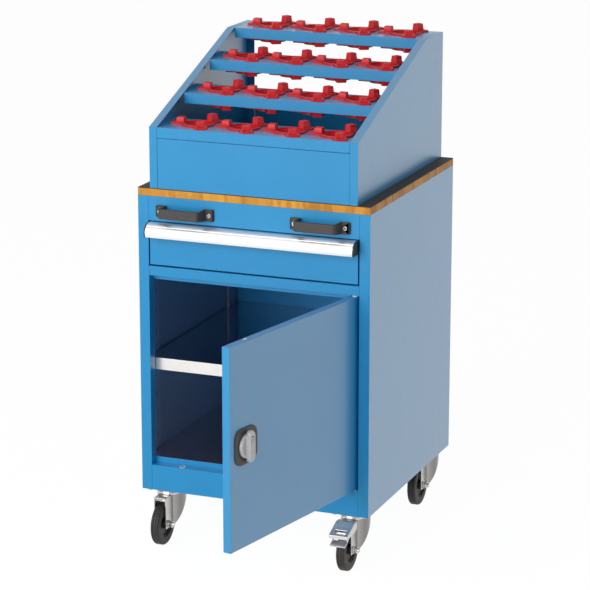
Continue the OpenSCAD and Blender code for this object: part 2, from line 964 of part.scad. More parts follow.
module door_skin() {
    color(blue) opened() difference() {
        tray(door_x, door_z0, door_z1, front_t);
        for (z = [door_z0, door_z1 - sheet]) {
            bar_z([hinge[0], hinge[1], z - over], bush_r + running, sheet + 2 * over);
            bar_z([rod_x, rod_y, z - over], rod_r + running, sheet + 2 * over);
        }
        bar_y([lock_x, -hy - over, lock_z], sleeve_r + seam, sheet + 2 * over);
    }
}

module door_inner_panel() {
    x = door_x - sheet - seam;
    z = sheet + seam;
    y = -hy + front_t;
    color(blue) opened() box([-x, y - sheet, door_z0 + z], [x, y, door_z1 - z]);
}

module hinge_pins() {
    color(zinc) {
        bar_z([hinge[0], hinge[1], z_sill - sheet], hinge_pin_r,
              door_z0 + hinge_pin_len - z_sill + sheet);
        bar_z([hinge[0], hinge[1], z_sill - sheet - pin_head_t], hinge_pin_r + 2, pin_head_t);
        bar_z([hinge[0], hinge[1], door_z1 - hinge_pin_len], hinge_pin_r,
              z_mid + sheet - door_z1 + hinge_pin_len);
        bar_z([hinge[0], hinge[1], z_mid + sheet], hinge_pin_r + 2, pin_head_t);
    }
}

module hinge_bushes() {
    color(white) opened() difference() {
        union() {
            bar_z([hinge[0], hinge[1], z_sill + seam], bush_flange_r, door_gap_bottom - seam);
            bar_z([hinge[0], hinge[1], door_z0], bush_r, hinge_pin_len);
            bar_z([hinge[0], hinge[1], door_z1], bush_flange_r, door_gap_top - seam);
            bar_z([hinge[0], hinge[1], door_z1 - hinge_pin_len], bush_r, hinge_pin_len);
        }
        bar_z([hinge[0], hinge[1], z_sill], hinge_pin_r + running, z_mid - z_sill);
    }
}

module lock_surround() {
    color(dark) opened() difference() {
        translate([lock_x, 0, lock_z]) along_y(surround_y, -hy)
            rounded(surround_w, surround_w, surround_r);
        bar_y([lock_x, surround_y - over, lock_z], dish_r, dish_depth + over);
        bar_y([lock_x, surround_y - over, lock_z], sleeve_r + seam, surround_t + 2 * over);
    }
}

module lock_handle() {
    edge = 3;
    bar_end = knob_bar_l / 2 + over;
    bar_flat = knob_bar_l * 0.32;
    bar_fall = 4;
    color(zinc) opened() difference() {
        union() {
            bar_y([lock_x, bar_y + edge, lock_z], knob_r, knob_y - bar_y - edge);
            translate([lock_x, bar_y, lock_z]) rotate([-90, 0, 0])
                cylinder(r1 = knob_r - edge, r2 = knob_r, h = edge);
            translate([lock_x, 0, lock_z]) intersection() {
                along_y(bar_front - over, bar_y + over)
                    rounded(knob_bar_w, knob_bar_l, knob_bar_w / 2 - 1);
                along_x(-knob_bar_w, knob_bar_w) polygon([
                    [bar_y + 2 * over, -bar_end], [bar_front + bar_fall, -bar_end],
                    [bar_front, -bar_flat], [bar_front, bar_flat],
                    [bar_front + bar_fall, bar_end], [bar_y + 2 * over, bar_end]
                ]);
            }
            bar_y([lock_x, knob_y - over, lock_z], sleeve_r, cam_y - seam - knob_y + over);
        }
        bar_y([lock_x, bar_front - over, lock_z + cylinder_offset], cylinder_r + running,
              knob_bar_t + over);
        bar_y([lock_x, knob_y - knob_t, lock_z], spindle_r + running, knob_t + 20);
    }
}

module lock_cylinder() {
    slot_l = 7;
    slot_t = 1.6;
    slot_deep = 3;
    proud = 0.5;
    z = lock_z + cylinder_offset;
    color(zinc) opened() difference() {
        bar_y([lock_x, bar_front - proud, z], cylinder_r, knob_bar_t + proud);
        box([lock_x - slot_t / 2, bar_front - proud - over, z - slot_l / 2],
            [lock_x + slot_t / 2, bar_front + slot_deep, z + slot_l / 2]);
    }
}

module lock_cam() {
    color(zinc) opened() {
        bar_y([lock_x, cam_y, lock_z], cam_r, cam_t);
        bar_y([lock_x, knob_y - knob_t + seam, lock_z], spindle_r, cam_y - knob_y + knob_t);
        for (s = [-1, 1])
            bar_y([lock_x + s * pin_off, cam_y + cam_t - over, lock_z - s * pin_off], cam_pin_r,
                  yoke_y1 - cam_y - cam_t + 2 * over);
    }
}

// A locking rod above the lock, at x beside it: its yoke takes the cam's pin, and its end
// stands at z = tip
module locking_rod(x, tip) {
    arm_x0 = spindle_r + 2.1;
    arm_x1 = crank_r + cam_pin_r + yoke_clear + 3;
    arm_z = -pin_off - cam_pin_r - yoke_clear - 1.5;
    bridge_z = 14;
    rod_z = cam_r + over;
    difference() {
        union() {
            box([arm_x0, yoke_y0, arm_z], [arm_x1, yoke_y1, bridge_z + 8]);
            box([min(x - rod_r, arm_x0), yoke_y0, bridge_z], [arm_x1, yoke_y1, bridge_z + 8]);
            bar_z([x, rod_y, rod_z], rod_r, tip - rod_z - over);
            translate([x, rod_y, tip - over]) cylinder(r1 = rod_r, r2 = rod_r - over, h = over);
        }
        box([arm_x0 - over, yoke_y0 - over, -pin_off - cam_pin_r - yoke_clear],
            [arm_x1 - 3, yoke_y1 + over, -pin_off + cam_pin_r + yoke_clear]);
    }
}

module locking_rod_top() {
    color(zinc) opened() translate([lock_x, 0, lock_z])
        locking_rod(rod_shift, door_z1 + rod_proud - lock_z);
}

module locking_rod_bottom() {
    color(zinc) opened() translate([lock_x, 0, lock_z]) mirror([1, 0, 0]) mirror([0, 0, 1])
        locking_rod(-rod_shift, lock_z - door_z0 + rod_low);
}

// The fixed half of a swivel castor: plate, upper race and king pin
module castor_plate() {
    race_z = crown_z + crown_ring_t + cup_gap;
    plate_z = z_base - plate_t;
    difference() {
        box([-plate_w / 2, -plate_d / 2, plate_z], [plate_w / 2, plate_d / 2, z_base]);
        for (x = [-bolt_x, bolt_x], y = [-bolt_y, bolt_y])
            bar_z([x, y, plate_z - over], bolt_r + running, plate_t + 2 * over);
    }
    translate([0, 0, race_z]) cylinder(r = crown_ring_r + 1, h = 4);
    translate([0, 0, race_z + 4])
        cylinder(r1 = crown_ring_r + 1, r2 = crown_ring_r - 4, h = plate_z - race_z - 4);
    bar_z([0, 0, crown_z - fork_t - 5], king_r, plate_z - crown_z + fork_t + 5);
    bar_z([0, 0, crown_z - fork_t - seam - 6], king_r + 4, 6);
}

module castor_plates() {
    color(zinc) castor_places() castor_plate();
}

module castor_bolts() {
    head_t = 5.5;
    nut_t = 6;
    color(zinc) bolt_places() {
        bar_z([0, 0, z_base - plate_t - head_t / 2], bolt_r,
              plate_t + sheet + nut_t + head_t / 2 + 2);
        translate([0, 0, z_base - plate_t - head_t])
            cylinder(r = bolt_r * 1.8, h = head_t, $fn = 6);
        translate([0, 0, z_base + sheet]) cylinder(r = bolt_r * 1.8, h = nut_t, $fn = 6);
    }
}

// The fork seen from above: two straight legs and a round back
module fork_plan(w, r, front) {
    translate([0, fork_back]) circle(r);
    translate([-w, front]) square([2 * w, fork_back - front]);
}

module fork() {
    low = fork_foot - 2 * over;
    lean_y = fork_foot_y + (crown_z + over - fork_foot) * fork_lean;
    color(zinc) difference() {
        union() {
            intersection() {
                translate([0, 0, fork_foot - over]) linear_extrude(crown_z - fork_foot + over)
                    fork_plan(fork_w, fork_r, fork_front);
                along_x(-fork_r - over, fork_r + over) polygon([
                    [fork_front - over, crown_z + over], [fork_front - over, fork_foot],
                    [fork_foot_y, fork_foot], [lean_y, crown_z + over]
                ]);
            }
            bar_z([0, 0, crown_z - over], crown_ring_r, crown_ring_t + over);
        }
        translate([0, 0, low]) linear_extrude(crown_z - fork_t - low)
            fork_plan(fork_w - fork_t, fork_r - fork_t, fork_front - over);
        bar_z([0, 0, crown_z - fork_t - over], king_r + running, crown_ring_t + fork_t + 2 * over);
        bar_x([-fork_r, -trail, wheel_r], axle_r + running, 2 * fork_r);
    }
}

module axle() {
    washer_t = 2;
    washer_r = axle_r * 2 - 1;
    nut_t = 8;
    nut_r = axle_r * 1.75;
    end_l = 4;
    head_x = fork_w + nut_t;
    nut_x = fork_w + washer_t;
    color(zinc) translate([0, -trail, wheel_r]) {
        bar_x([-head_x + end_l, 0, 0], axle_r, head_x + nut_x + nut_t);
        translate([-head_x, 0, 0]) rotate([0, 90, 0]) cylinder(r = nut_r, h = nut_t, $fn = 6);
        bar_x([fork_w, 0, 0], washer_r, washer_t);
        translate([nut_x, 0, 0]) rotate([0, 90, 0]) cylinder(r = nut_r, h = nut_t, $fn = 6);
    }
}

module wheel_place() {
    translate([0, -trail, wheel_r]) rotate([0, 90, 0]) children();
}

module rim() {
    hub_r = axle_r + 6;
    ring_t = 4;
    ring_half = tyre_w / 2 - 3;
    web_half = 3;
    bore = axle_r + running;
    color(dark) wheel_place() rotate_extrude() polygon([
        [bore, -hub_half], [hub_r, -hub_half], [hub_r + 1, -web_half],
        [rim_r - ring_t, -web_half - 1], [rim_r - ring_t + 1, -ring_half],
        [rim_r - running, -ring_half], [rim_r - running, ring_half],
        [rim_r - ring_t + 1, ring_half], [rim_r - ring_t, web_half + 1],
        [hub_r + 1, web_half], [hub_r, hub_half], [bore, hub_half]
    ]);
}

module tyre() {
    half = tyre_w / 2;
    tread = half - 3.5;
    groove_x = tread / 2;
    groove_w = 1.4;
    groove_d = 1.3;
    profile = [
        [rim_r, half - 1], [wheel_r - 9, half], [wheel_r - 4, half - 0.4],
        [wheel_r - 1.3, half - 1.5], [wheel_r, tread], [wheel_r, groove_x + groove_w / 2],
        [wheel_r - groove_d, groove_x + groove_w / 4],
        [wheel_r - groove_d, groove_x - groove_w / 4], [wheel_r, groove_x - groove_w / 2]
    ];
    other = [for (i = [len(profile) - 1 : -1 : 0]) [profile[i][0], -profile[i][1]]];
    color(dark) wheel_place() rotate_extrude() polygon(concat(profile, other));
}

module castor_at(sx, sy) {
    translate([sx * castor_x, sy * castor_y, 0]) children();
}

// The hood over the wheel, folded from one sheet, with its edges outside the fork
module brake_cover() {
    hood_back = fork_front + 18;
    edge_low = crown_z - hood_depth;
    slot_x = 14;
    slot_y = hood_tip[0] + 6;
    color(zinc) castor_at(1, -1) difference() {
        union() {
            along_x(-hood_x, hood_x) polygon([
                [hood_back, crown_z], [fork_front, crown_z],
                [hood_tip[0] + hood_t, hood_tip[1] - hood_t / 2], [hood_tip[0] + hood_t, edge_low],
                [hood_tip[0], edge_low], hood_tip,
                [fork_front + 1, crown_z + hood_t], [hood_back, crown_z + hood_t]
            ]);
            both_sides() along_x(hood_x - hood_t, hood_x) polygon([
                [hood_back, crown_z + hood_t], [fork_front + 1, crown_z + hood_t], hood_tip,
                [hood_tip[0], edge_low], [fork_front, edge_low + 2], [hood_back, edge_low + 8]
            ]);
        }
        box([-slot_x, slot_y, edge_low], [slot_x, slot_y + slot_x, crown_z + over]);
        bar_x([-hood_x - over, brake_pin[0], brake_pin[1]], brake_pin_r + running,
              2 * hood_x + 2 * over);
    }
}

// The pedal turns on its pin, and its lobe comes down on the tread
module brake_pedal() {
    arm_t = 2.5;
    arm_r = 6;
    offset = 3.2;
    hub = [-trail, wheel_r] - brake_pin;
    toward = atan2(hub[1], hub[0]);
    at_rest = toward - brake_angle - 35;
    pressed = offset * [cos(toward - 35), sin(toward - 35)];
    lobe_r = norm(hub - pressed) - wheel_r - seam;
    lobe = brake_pin + offset * [cos(at_rest), sin(at_rest)];
    y0 = hood_tip[0] + blade_back;
    z0 = hood_tip[1] - blade_low;
    color(zinc) castor_at(1, -1) {
        bar_x([-hood_x, brake_pin[0], brake_pin[1]], brake_pin_r, 2 * hood_x);
        bar_x([-blade_x + 7, lobe[0], lobe[1]], lobe_r, 2 * (blade_x - 7));
        both_sides() along_x(blade_x - arm_t, blade_x) {
            translate(brake_pin) circle(arm_r);
            polygon([[brake_pin[0] - 4, brake_pin[1] + 4], [brake_pin[0] + 3, brake_pin[1] - 5],
                     [y0, z0 - 3], [y0 - 2, z0 + 1]]);
        }
        along_x(-blade_x, blade_x) polygon([
            [y0, z0], [y0, z0 - arm_t], [y0 - blade_run, z0 - blade_drop - arm_t],
            [y0 - blade_run - 1, z0 - blade_drop]
        ]);
    }
}

side_panel_left();
side_panel_right();
back_panel();
base_panel();
floor_panel();
plinth_rail();
mid_rail();
handle_fascia();
top_panel();
shelf_uprights();
shelf();
shelf_clips();
worktop_board();
worktop_laminate();
fixing_screws();
rack_side_left();
rack_side_right();
rack_front_panel();
rack_back_panel();
rack_shelves();
tool_inserts();
push_handle_left();
push_handle_right();
cabinet_runners();
middle_runners();
drawer_runners();
drawer_box();
drawer_front();
drawer_grip();
grip_end_caps();
door_skin();
door_inner_panel();
hinge_pins();
hinge_bushes();
lock_surround();
lock_handle();
lock_cylinder();
lock_cam();
locking_rod_top();
locking_rod_bottom();
castor_plates();
castor_bolts();
castor_at(-1, -1) fork();  // fork_front_left
castor_at(1, -1) fork();  // fork_front_right
castor_at(-1, 1) fork();  // fork_rear_left
castor_at(1, 1) fork();  // fork_rear_right
castor_at(-1, -1) axle();  // axle_front_left
castor_at(1, -1) axle();  // axle_front_right
castor_at(-1, 1) axle();  // axle_rear_left
castor_at(1, 1) axle();  // axle_rear_right
castor_at(-1, -1) tyre();  // tyre_front_left
castor_at(1, -1) tyre();  // tyre_front_right
castor_at(-1, 1) tyre();  // tyre_rear_left
castor_at(1, 1) tyre();  // tyre_rear_right
castor_at(-1, -1) rim();  // rim_front_left
castor_at(1, -1) rim();  // rim_front_right
castor_at(-1, 1) rim();  // rim_rear_left
castor_at(1, 1) rim();  // rim_rear_right
brake_cover();
brake_pedal();
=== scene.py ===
"""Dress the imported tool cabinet: finishes, finer shapes, the studio and the camera."""

from __future__ import annotations

import json
import logging
import math
from collections.abc import Callable, Sequence
from dataclasses import dataclass, field
from enum import Enum

import bmesh
import bpy
from mathutils import Matrix, Vector

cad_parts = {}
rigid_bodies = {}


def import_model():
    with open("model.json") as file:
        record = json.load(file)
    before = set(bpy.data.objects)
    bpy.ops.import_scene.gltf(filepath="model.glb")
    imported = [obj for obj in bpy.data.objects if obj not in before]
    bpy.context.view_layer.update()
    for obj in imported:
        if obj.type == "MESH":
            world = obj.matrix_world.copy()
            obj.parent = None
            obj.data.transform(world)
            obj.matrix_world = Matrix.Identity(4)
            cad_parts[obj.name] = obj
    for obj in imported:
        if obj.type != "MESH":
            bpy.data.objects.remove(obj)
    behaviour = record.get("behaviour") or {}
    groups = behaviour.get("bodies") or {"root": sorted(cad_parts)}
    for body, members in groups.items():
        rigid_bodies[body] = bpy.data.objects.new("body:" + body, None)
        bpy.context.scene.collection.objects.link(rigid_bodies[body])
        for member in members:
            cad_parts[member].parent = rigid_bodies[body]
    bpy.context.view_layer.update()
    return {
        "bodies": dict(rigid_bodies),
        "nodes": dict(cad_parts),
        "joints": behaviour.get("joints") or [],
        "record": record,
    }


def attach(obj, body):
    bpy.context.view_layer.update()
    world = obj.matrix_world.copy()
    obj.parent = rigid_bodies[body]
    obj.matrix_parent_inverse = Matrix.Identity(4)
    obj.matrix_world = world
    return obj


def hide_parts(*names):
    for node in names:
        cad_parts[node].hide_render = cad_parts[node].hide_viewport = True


LOG = logging.getLogger("tool_cabinet")
MM = 0.001

# Points nearer than this are merged, and faces that turn less than this are joined
WELD = 0.002 * MM
LEVEL = math.radians(0.4)

# Edges that turn more than this are rounded, and those past the second number stay sharp in shading
SHARP_DEGREES = 28
CREASE_DEGREES = 32

# Faces that a rounding has, on sheet metal and on moulded or drawn pieces
ROUND_STEPS = 2
FINE_STEPS = 3

# A face whose normal has more than this along an axis looks along it
LOOKS_ALONG = 0.9

Colour = tuple[float, float, float]
Point = tuple[float, float, float]
Shape = bmesh.types.BMesh
EdgeTest = Callable[[bmesh.types.BMEdge], bool]
Socket = bpy.types.NodeSocket


class Corner(Enum):
    """The four corners of the cabinet, named as their castors are."""

    FRONT_LEFT = "front_left"
    FRONT_RIGHT = "front_right"
    REAR_LEFT = "rear_left"
    REAR_RIGHT = "rear_right"

    @property
    def signs(self) -> tuple[int, int]:
        """Give the corner's side in X and in Y, each -1 or 1."""
        return 1 if "right" in self.value else -1, 1 if "rear" in self.value else -1


def srgb(red: int, green: int, blue: int) -> Colour:
    """Turn a colour in display values to linear ones.

    Args:
        red: Red from 0 to 255.
        green: Green from 0 to 255.
        blue: Blue from 0 to 255.

    Returns:
        The linear colour.
    """
    def linear(value: int) -> float:
        """Turn one value by the standard display curve."""
        share = value / 255
        return share / 12.92 if share <= 0.04045 else ((share + 0.055) / 1.055) ** 2.4

    return linear(red), linear(green), linear(blue)


def shaded(colour: Colour, share: float) -> Colour:
    """Multiply a colour, to darken or brighten it."""
    return tuple(part * share for part in colour)


def seen_directly(tree: bpy.types.NodeTree) -> tuple[Socket, bpy.types.Node]:
    """Tell rays from the camera and in reflections from the others.

    Args:
        tree: The node tree.

    Returns:
        A value of 1 for those rays and 0 for the others, and the Light Path node.
    """
    path = tree.nodes.new("ShaderNodeLightPath")
    seen = tree.nodes.new("ShaderNodeMath")
    seen.operation = "MAXIMUM"
    tree.links.new(path.outputs["Is Camera Ray"], seen.inputs[0])
    tree.links.new(path.outputs["Is Glossy Ray"], seen.inputs[1])
    return seen.outputs[0], path


class Graph:
    """A material's node tree, with short calls that add and join its nodes."""

    def __init__(self, name: str) -> None:
        """Start a material with an empty tree.

        Args:
            name: The material's name.
        """
        self.material = bpy.data.materials.new(name)
        self.material.use_nodes = True
        self.tree = self.material.node_tree
        self.tree.nodes.clear()
        self.output = self.add("ShaderNodeOutputMaterial")
        self.shader = self.add("ShaderNodeBsdfPrincipled")
        self.join(self.shader.outputs["BSDF"], self.output.inputs["Surface"])

    def add(self, kind: str, **settings: object) -> bpy.types.Node:
        """Add a node.

        Args:
            kind: The node's Blender type.
            **settings: Properties of the node.

        Returns:
            The new node.
        """
        node = self.tree.nodes.new(kind)
        for key, value in settings.items():
            setattr(node, key, value)
        return node

    def join(self, source: Socket, target: Socket) -> None:
        """Join an output to an input."""
        self.tree.links.new(source, target)

    def feed(self, source: Socket, socket: str) -> None:
        """Join an output to one of the shader's sockets."""
        self.join(source, self.shader.inputs[socket])

    def set(self, **values: object) -> None:
        """Write constants on the shader's own sockets; an underscore stands for a space."""
        for key, value in values.items():
            self.shader.inputs[key.replace("_", " ")].default_value = value

    def position(self, scale: Sequence[float] = (1, 1, 1)) -> Socket:
        """Give the place on the piece in metres, stretched along the axes.

        Args:
            scale: How much the pattern is squeezed along each axis.

        Returns:
            A vector output.
        """
        return self.mapped(self.add("ShaderNodeTexCoord").outputs["Object"], scale)

    def mapped(self, vector: Socket, scale: Sequence[float]) -> Socket:
        """Scale a vector along the axes.

        Args:
            vector: The vector.
            scale: The factor along each axis.

        Returns:
            The scaled vector.
        """
        mapping = self.add("ShaderNodeMapping")
        mapping.inputs["Scale"].default_value = scale
        self.join(vector, mapping.inputs["Vector"])
        return mapping.outputs["Vector"]

    def noise(self, vector: Socket, size: float, detail: float = 3, roughness: float = 0.5) -> Socket:
        """Add a noise whose features are about size metres wide.

        Args:
            vector: Where the noise is read.
            size: The width of a feature in metres.
            detail: How many finer layers it has.
            roughness: How strong the finer layers are.

        Returns:
            The noise's value from 0 to 1.
        """
        node = self.add("ShaderNodeTexNoise")
        node.inputs["Scale"].default_value = 1 / size
        node.inputs["Detail"].default_value = detail
        node.inputs["Roughness"].default_value = roughness
        self.join(vector, node.inputs["Vector"])
        return node.outputs["Fac"]

    def spread(self, value: Socket, low: float = 0, high: float = 1, from_low: float = 0.3,
               from_high: float = 0.7) -> Socket:
        """Bring a noise to a range of values.

        Args:
            value: The noise.
            low: The value at from_low.
            high: The value at from_high.
            from_low: The noise's lower end.
            from_high: The noise's upper end.

        Returns:
            The value in its new range.
        """
        node = self.add("ShaderNodeMapRange")
        for key, number in (("From Min", from_low), ("From Max", from_high), ("To Min", low),
                            ("To Max", high)):
            node.inputs[key].default_value = number
        self.join(value, node.inputs["Value"])
        return node.outputs["Result"]

    def blend(self, factor: Socket, first: Colour, second: Colour) -> Socket:
        """Mix two colours by a value.

        Args:
            factor: 0 gives the first colour and 1 the second.
            first: The first colour.
            second: The second colour.

        Returns:
            The mixed colour.
        """
        node = self.add("ShaderNodeMix", data_type="RGBA")
        node.inputs[6].default_value = (*first, 1)
        node.inputs[7].default_value = (*second, 1)
        self.join(factor, node.inputs[0])
        return node.outputs[2]

    def ramp(self, value: Socket, stops: Sequence[tuple[float, float]]) -> Socket:
        """Turn a value to a grey tone.

        Args:
            value: A value from 0 to 1.
            stops: Places from 0 to 1, each with its tone.

        Returns:
            The tone as a colour.
        """
        node = self.add("ShaderNodeValToRGB")
        node.color_ramp.interpolation = "EASE"
        steps = node.color_ramp.elements
        while len(steps) < len(stops):
            steps.new(1)
        for step, (place, tone) in zip(steps, stops):
            step.position = place
            step.color = (tone, tone, tone, 1)
        self.join(value, node.inputs["Fac"])
        return node.outputs["Color"]

    def tint(self, factor: Socket, first: Colour, second: Colour) -> None:
        """Give the shader a base colour between two, by a value."""
        self.feed(self.blend(factor, first, second), "Base Color")

    def rough(self, noise: Socket, low: float, high: float) -> None:
        """Give the shader a roughness that a noise moves between two values."""
        self.feed(self.spread(noise, low, high), "Roughness")

    def relief(self, height: Socket, depth: float) -> None:
        """Give the shader a relief.

        Args:
            height: The height from 0 to 1.
            depth: The height in metres that 1 stands for.
        """
        node = self.add("ShaderNodeBump")
        node.inputs["Distance"].default_value = depth
        node.inputs["Strength"].default_value = 1
        self.join(height, node.inputs["Height"])
        self.feed(node.outputs["Normal"], "Normal")


@dataclass(frozen=True)
class Finish:
    """A finish with its name and main colour. All lengths of its kinds are in metres."""

    name: str
    colour: Colour

    def build(self) -> bpy.types.Material:
        """Make the material.

        Returns:
            The material with the finish's nodes.
        """
        graph = Graph(self.name)
        self.lay(graph)
        return graph.material

    def lay(self, graph: Graph) -> None:
        """Lay the finish's own nodes in a material's tree."""
        raise NotImplementedError


@dataclass(frozen=True)
class PowderCoat(Finish):
    """A powder coat on sheet metal, with a fine orange peel, glossier where it is seen along."""

    roughness: float = 0.44
    uneven: float = 0.03
    uneven_size: float = 20 * MM
    peel: float = 0.9 * MM
    peel_depth: float = 0.004 * MM
    tone: float = 0.05
    tone_size: float = 120 * MM
    gloss: float = 1.0
    gloss_range: tuple[float, float] = (0.12, 0.45)

    def lay(self, graph: Graph) -> None:
        """Lay tone, roughness, orange peel and gloss.

        Args:
            graph: The material's tree.
        """
        place = graph.position()
        graph.tint(graph.spread(graph.noise(place, self.tone_size, 2)),
                   shaded(self.colour, 1 - self.tone), self.colour)
        graph.rough(graph.noise(place, self.uneven_size), self.roughness - self.uneven,
                    self.roughness + self.uneven)
        graph.relief(graph.noise(place, self.peel, 2), self.peel_depth)
        along = graph.add("ShaderNodeLayerWeight").outputs["Facing"]
        graph.feed(graph.spread(along, 0, self.gloss, *self.gloss_range), "Coat Weight")
        graph.set(Metallic=0.0, IOR=1.5, Specular_IOR_Level=0.47, Coat_Roughness=0.3, Coat_IOR=1.8)


@dataclass(frozen=True)
class PlatedSteel(Finish):
    """Zinc plated or galvanised steel: a faint cloudy grain, and on forks a painted reflection: a
    soft sweep of tone along a leg.

    The painted reflection has places from 0 to 1 with their tones, and runs along Y over the span.
    """

    roughness: float = 0.24
    uneven: float = 0.02
    grain: float = 9 * MM
    cloud: float = 0.1
    painted_reflection_sweep: tuple[tuple[float, float], ...] = ()
    span: tuple[float, float] = (0, 1)

    def lay(self, graph: Graph) -> None:
        """Lay grain, painted reflection and roughness.

        Args:
            graph: The material's tree.
        """
        place = graph.position()
        colour = graph.blend(graph.spread(graph.noise(place, self.grain)),
                             shaded(self.colour, 1 - self.cloud), self.colour)
        # Painted reflection: light and dark bands multiplied into the colour along Y.
        if self.painted_reflection_sweep:
            axes = graph.add("ShaderNodeSeparateXYZ")
            graph.join(place, axes.inputs[0])
            painted_reflection_mix = graph.add("ShaderNodeMix", data_type="RGBA", blend_type="MULTIPLY")
            painted_reflection_mix.inputs[0].default_value = 1
            graph.join(colour, painted_reflection_mix.inputs[6])
            graph.join(graph.ramp(graph.spread(axes.outputs["Y"], 0, 1, *self.span), self.painted_reflection_sweep),
                       painted_reflection_mix.inputs[7])
            colour = painted_reflection_mix.outputs[2]
        graph.feed(colour, "Base Color")
        graph.rough(graph.noise(place, self.grain, 2), self.roughness - self.uneven,
                    self.roughness + self.uneven)
        graph.set(Metallic=1.0)


@dataclass(frozen=True)
class DrawnAluminium(Finish):
    """Anodised aluminium with fine lines along its length."""

    roughness: tuple[float, float] = (0.26, 0.36)
    metallic: float = 0.8
    line: float = 0.25 * MM
    line_depth: float = 0.002 * MM
    stretch: float = 0.02
    tone: float = 0.07

    def lay(self, graph: Graph) -> None:
        """Lay the lines, in tone, roughness and relief.

        Args:
            graph: The material's tree.
        """
        lines = graph.noise(graph.position((self.stretch, 1, 1)), self.line, 4, 0.7)
        graph.tint(graph.spread(lines), shaded(self.colour, 1 - self.tone), self.colour)
        graph.rough(lines, *self.roughness)
        graph.relief(lines, self.line_depth)
        graph.set(Metallic=self.metallic)


@dataclass(frozen=True)
class MouldedPlastic(Finish):
    """A moulded plastic with a fine eroded texture, which light may enter a little."""

    roughness: float = 0.42
    rubbed: float = 0.04
    dulled: float = 0.05
    texture: float = 0.5 * MM
    depth: float = 0.012 * MM
    tone: float = 0.12
    tone_size: float = 15 * MM
    rub_size: float = 4 * MM
    metallic: float = 0.0
    glow: float = 0.0
    glow_depth: float = 1.5 * MM

    def lay(self, graph: Graph) -> None:
        """Lay tone, rubbed places and texture.

        Args:
            graph: The material's tree.
        """
        place = graph.position()
        graph.tint(graph.spread(graph.noise(place, self.tone_size)),
                   shaded(self.colour, 1 - self.tone), self.colour)
        graph.rough(graph.noise(place, self.rub_size), self.roughness - self.rubbed,
                    self.roughness + self.dulled)
        graph.relief(graph.noise(place, self.texture, 2), self.depth)
        graph.set(Metallic=self.metallic, IOR=1.5, Subsurface_Weight=self.glow,
                  Subsurface_Scale=self.glow_depth)


@dataclass(frozen=True)
class Rubber(Finish):
    """Tyre rubber: dull, with a fine grain and a little dust in random patches."""

    dust: Colour
    dust_size: float = 20 * MM
    dust_most: float = 0.5
    dust_range: tuple[float, float] = (0.45, 0.75)
    roughness: tuple[float, float] = (0.5, 0.66)
    rub_size: float = 6 * MM
    grain: float = 0.6 * MM
    depth: float = 0.03 * MM

    def lay(self, graph: Graph) -> None:
        """Lay dust, rubbed places and grain.

        Args:
            graph: The material's tree.
        """
        place = graph.position()
        dusty = graph.spread(graph.noise(place, self.dust_size, 5, 0.65), 0, self.dust_most,
                             *self.dust_range)
        graph.tint(dusty, self.colour, self.dust)
        graph.rough(graph.noise(place, self.rub_size), *self.roughness)
        graph.relief(graph.noise(place, self.grain), self.depth)
        graph.set(IOR=1.5)


@dataclass(frozen=True)
class StaveWood(Finish):
    """A board glued from short staves of a light and a dark tone, seen on its sealed edges."""

    dark: Colour
    stave: float = 19 * MM
    stave_rise: float = 0.12
    stave_blur: float = 0.35
    stave_range: tuple[float, float] = (0.15, 0.85)
    warp_scale: float = 90
    warp_reach: float = 4 * MM
    grain: float = 1.1 * MM
    grain_stretch: float = 0.12
    grain_depth: float = 0.03 * MM
    grain_share: float = 0.3
    roughness: tuple[float, float] = (0.38, 0.52)

    def staves(self, graph: Graph) -> Socket:
        """Lay out the staves, with slightly warped joints.

        Args:
            graph: The material's tree.

        Returns:
            A tone from 0 to 1 for each stave.
        """
        warp = graph.add("ShaderNodeTexNoise")
        warp.inputs["Scale"].default_value = self.warp_scale
        graph.join(graph.position(), warp.inputs["Vector"])
        wobble = graph.add("ShaderNodeVectorMath", operation="SCALE")
        wobble.inputs["Scale"].default_value = self.warp_reach
        graph.join(warp.outputs["Color"], wobble.inputs[0])
        bent = graph.add("ShaderNodeVectorMath", operation="ADD")
        graph.join(graph.position(), bent.inputs[0])
        graph.join(wobble.outputs["Vector"], bent.inputs[1])
        across = 1 / self.stave
        cells = graph.add("ShaderNodeTexVoronoi", feature="SMOOTH_F1")
        cells.inputs["Scale"].default_value = 1
        cells.inputs["Smoothness"].default_value = self.stave_blur
        graph.join(graph.mapped(bent.outputs["Vector"], (across, across, self.stave_rise * across)),
                   cells.inputs["Vector"])
        parts = graph.add("ShaderNodeSeparateColor")
        graph.join(cells.outputs["Color"], parts.inputs["Color"])
        return graph.spread(parts.outputs["Red"], 0, 1, *self.stave_range)

    def lay(self, graph: Graph) -> None:
        """Lay the staves with their fibres.

        Args:
            graph: The material's tree.
        """
        fibres = graph.noise(graph.position((1, 1, self.grain_stretch)), self.grain, 5, 0.62)
        mix = graph.add("ShaderNodeMix")
        mix.inputs[0].default_value = self.grain_share
        graph.join(self.staves(graph), mix.inputs[2])
        graph.join(graph.spread(fibres), mix.inputs[3])
        graph.tint(mix.outputs[0], self.colour, self.dark)
        graph.rough(fibres, *self.roughness)
        graph.relief(fibres, self.grain_depth)
        graph.set(IOR=1.48, Specular_IOR_Level=0.2, Coat_Weight=0.06, Coat_Roughness=0.3)


@dataclass(frozen=True)
class Laminate(Finish):
    """A dark pressed surface layer with a fine pebble."""

    speck: float = 1.3 * MM
    speck_tone: float = 1.35
    speck_range: tuple[float, float] = (0.4, 0.7)
    roughness: tuple[float, float] = (0.55, 0.68)
    rub_size: float = 8 * MM
    pebble: float = 0.8 * MM
    depth: float = 0.02 * MM

    def lay(self, graph: Graph) -> None:
        """Lay specks, rubbed places and pebble.

        Args:
            graph: The material's tree.
        """
        place = graph.position()
        specks = graph.spread(graph.noise(place, self.speck, 4, 0.7), 0, 1, *self.speck_range)
        graph.tint(specks, self.colour, shaded(self.colour, self.speck_tone))
        graph.rough(graph.noise(place, self.rub_size), *self.roughness)
        graph.relief(graph.noise(place, self.pebble, 2), self.depth)
        graph.set(IOR=1.45, Specular_IOR_Level=0.25)


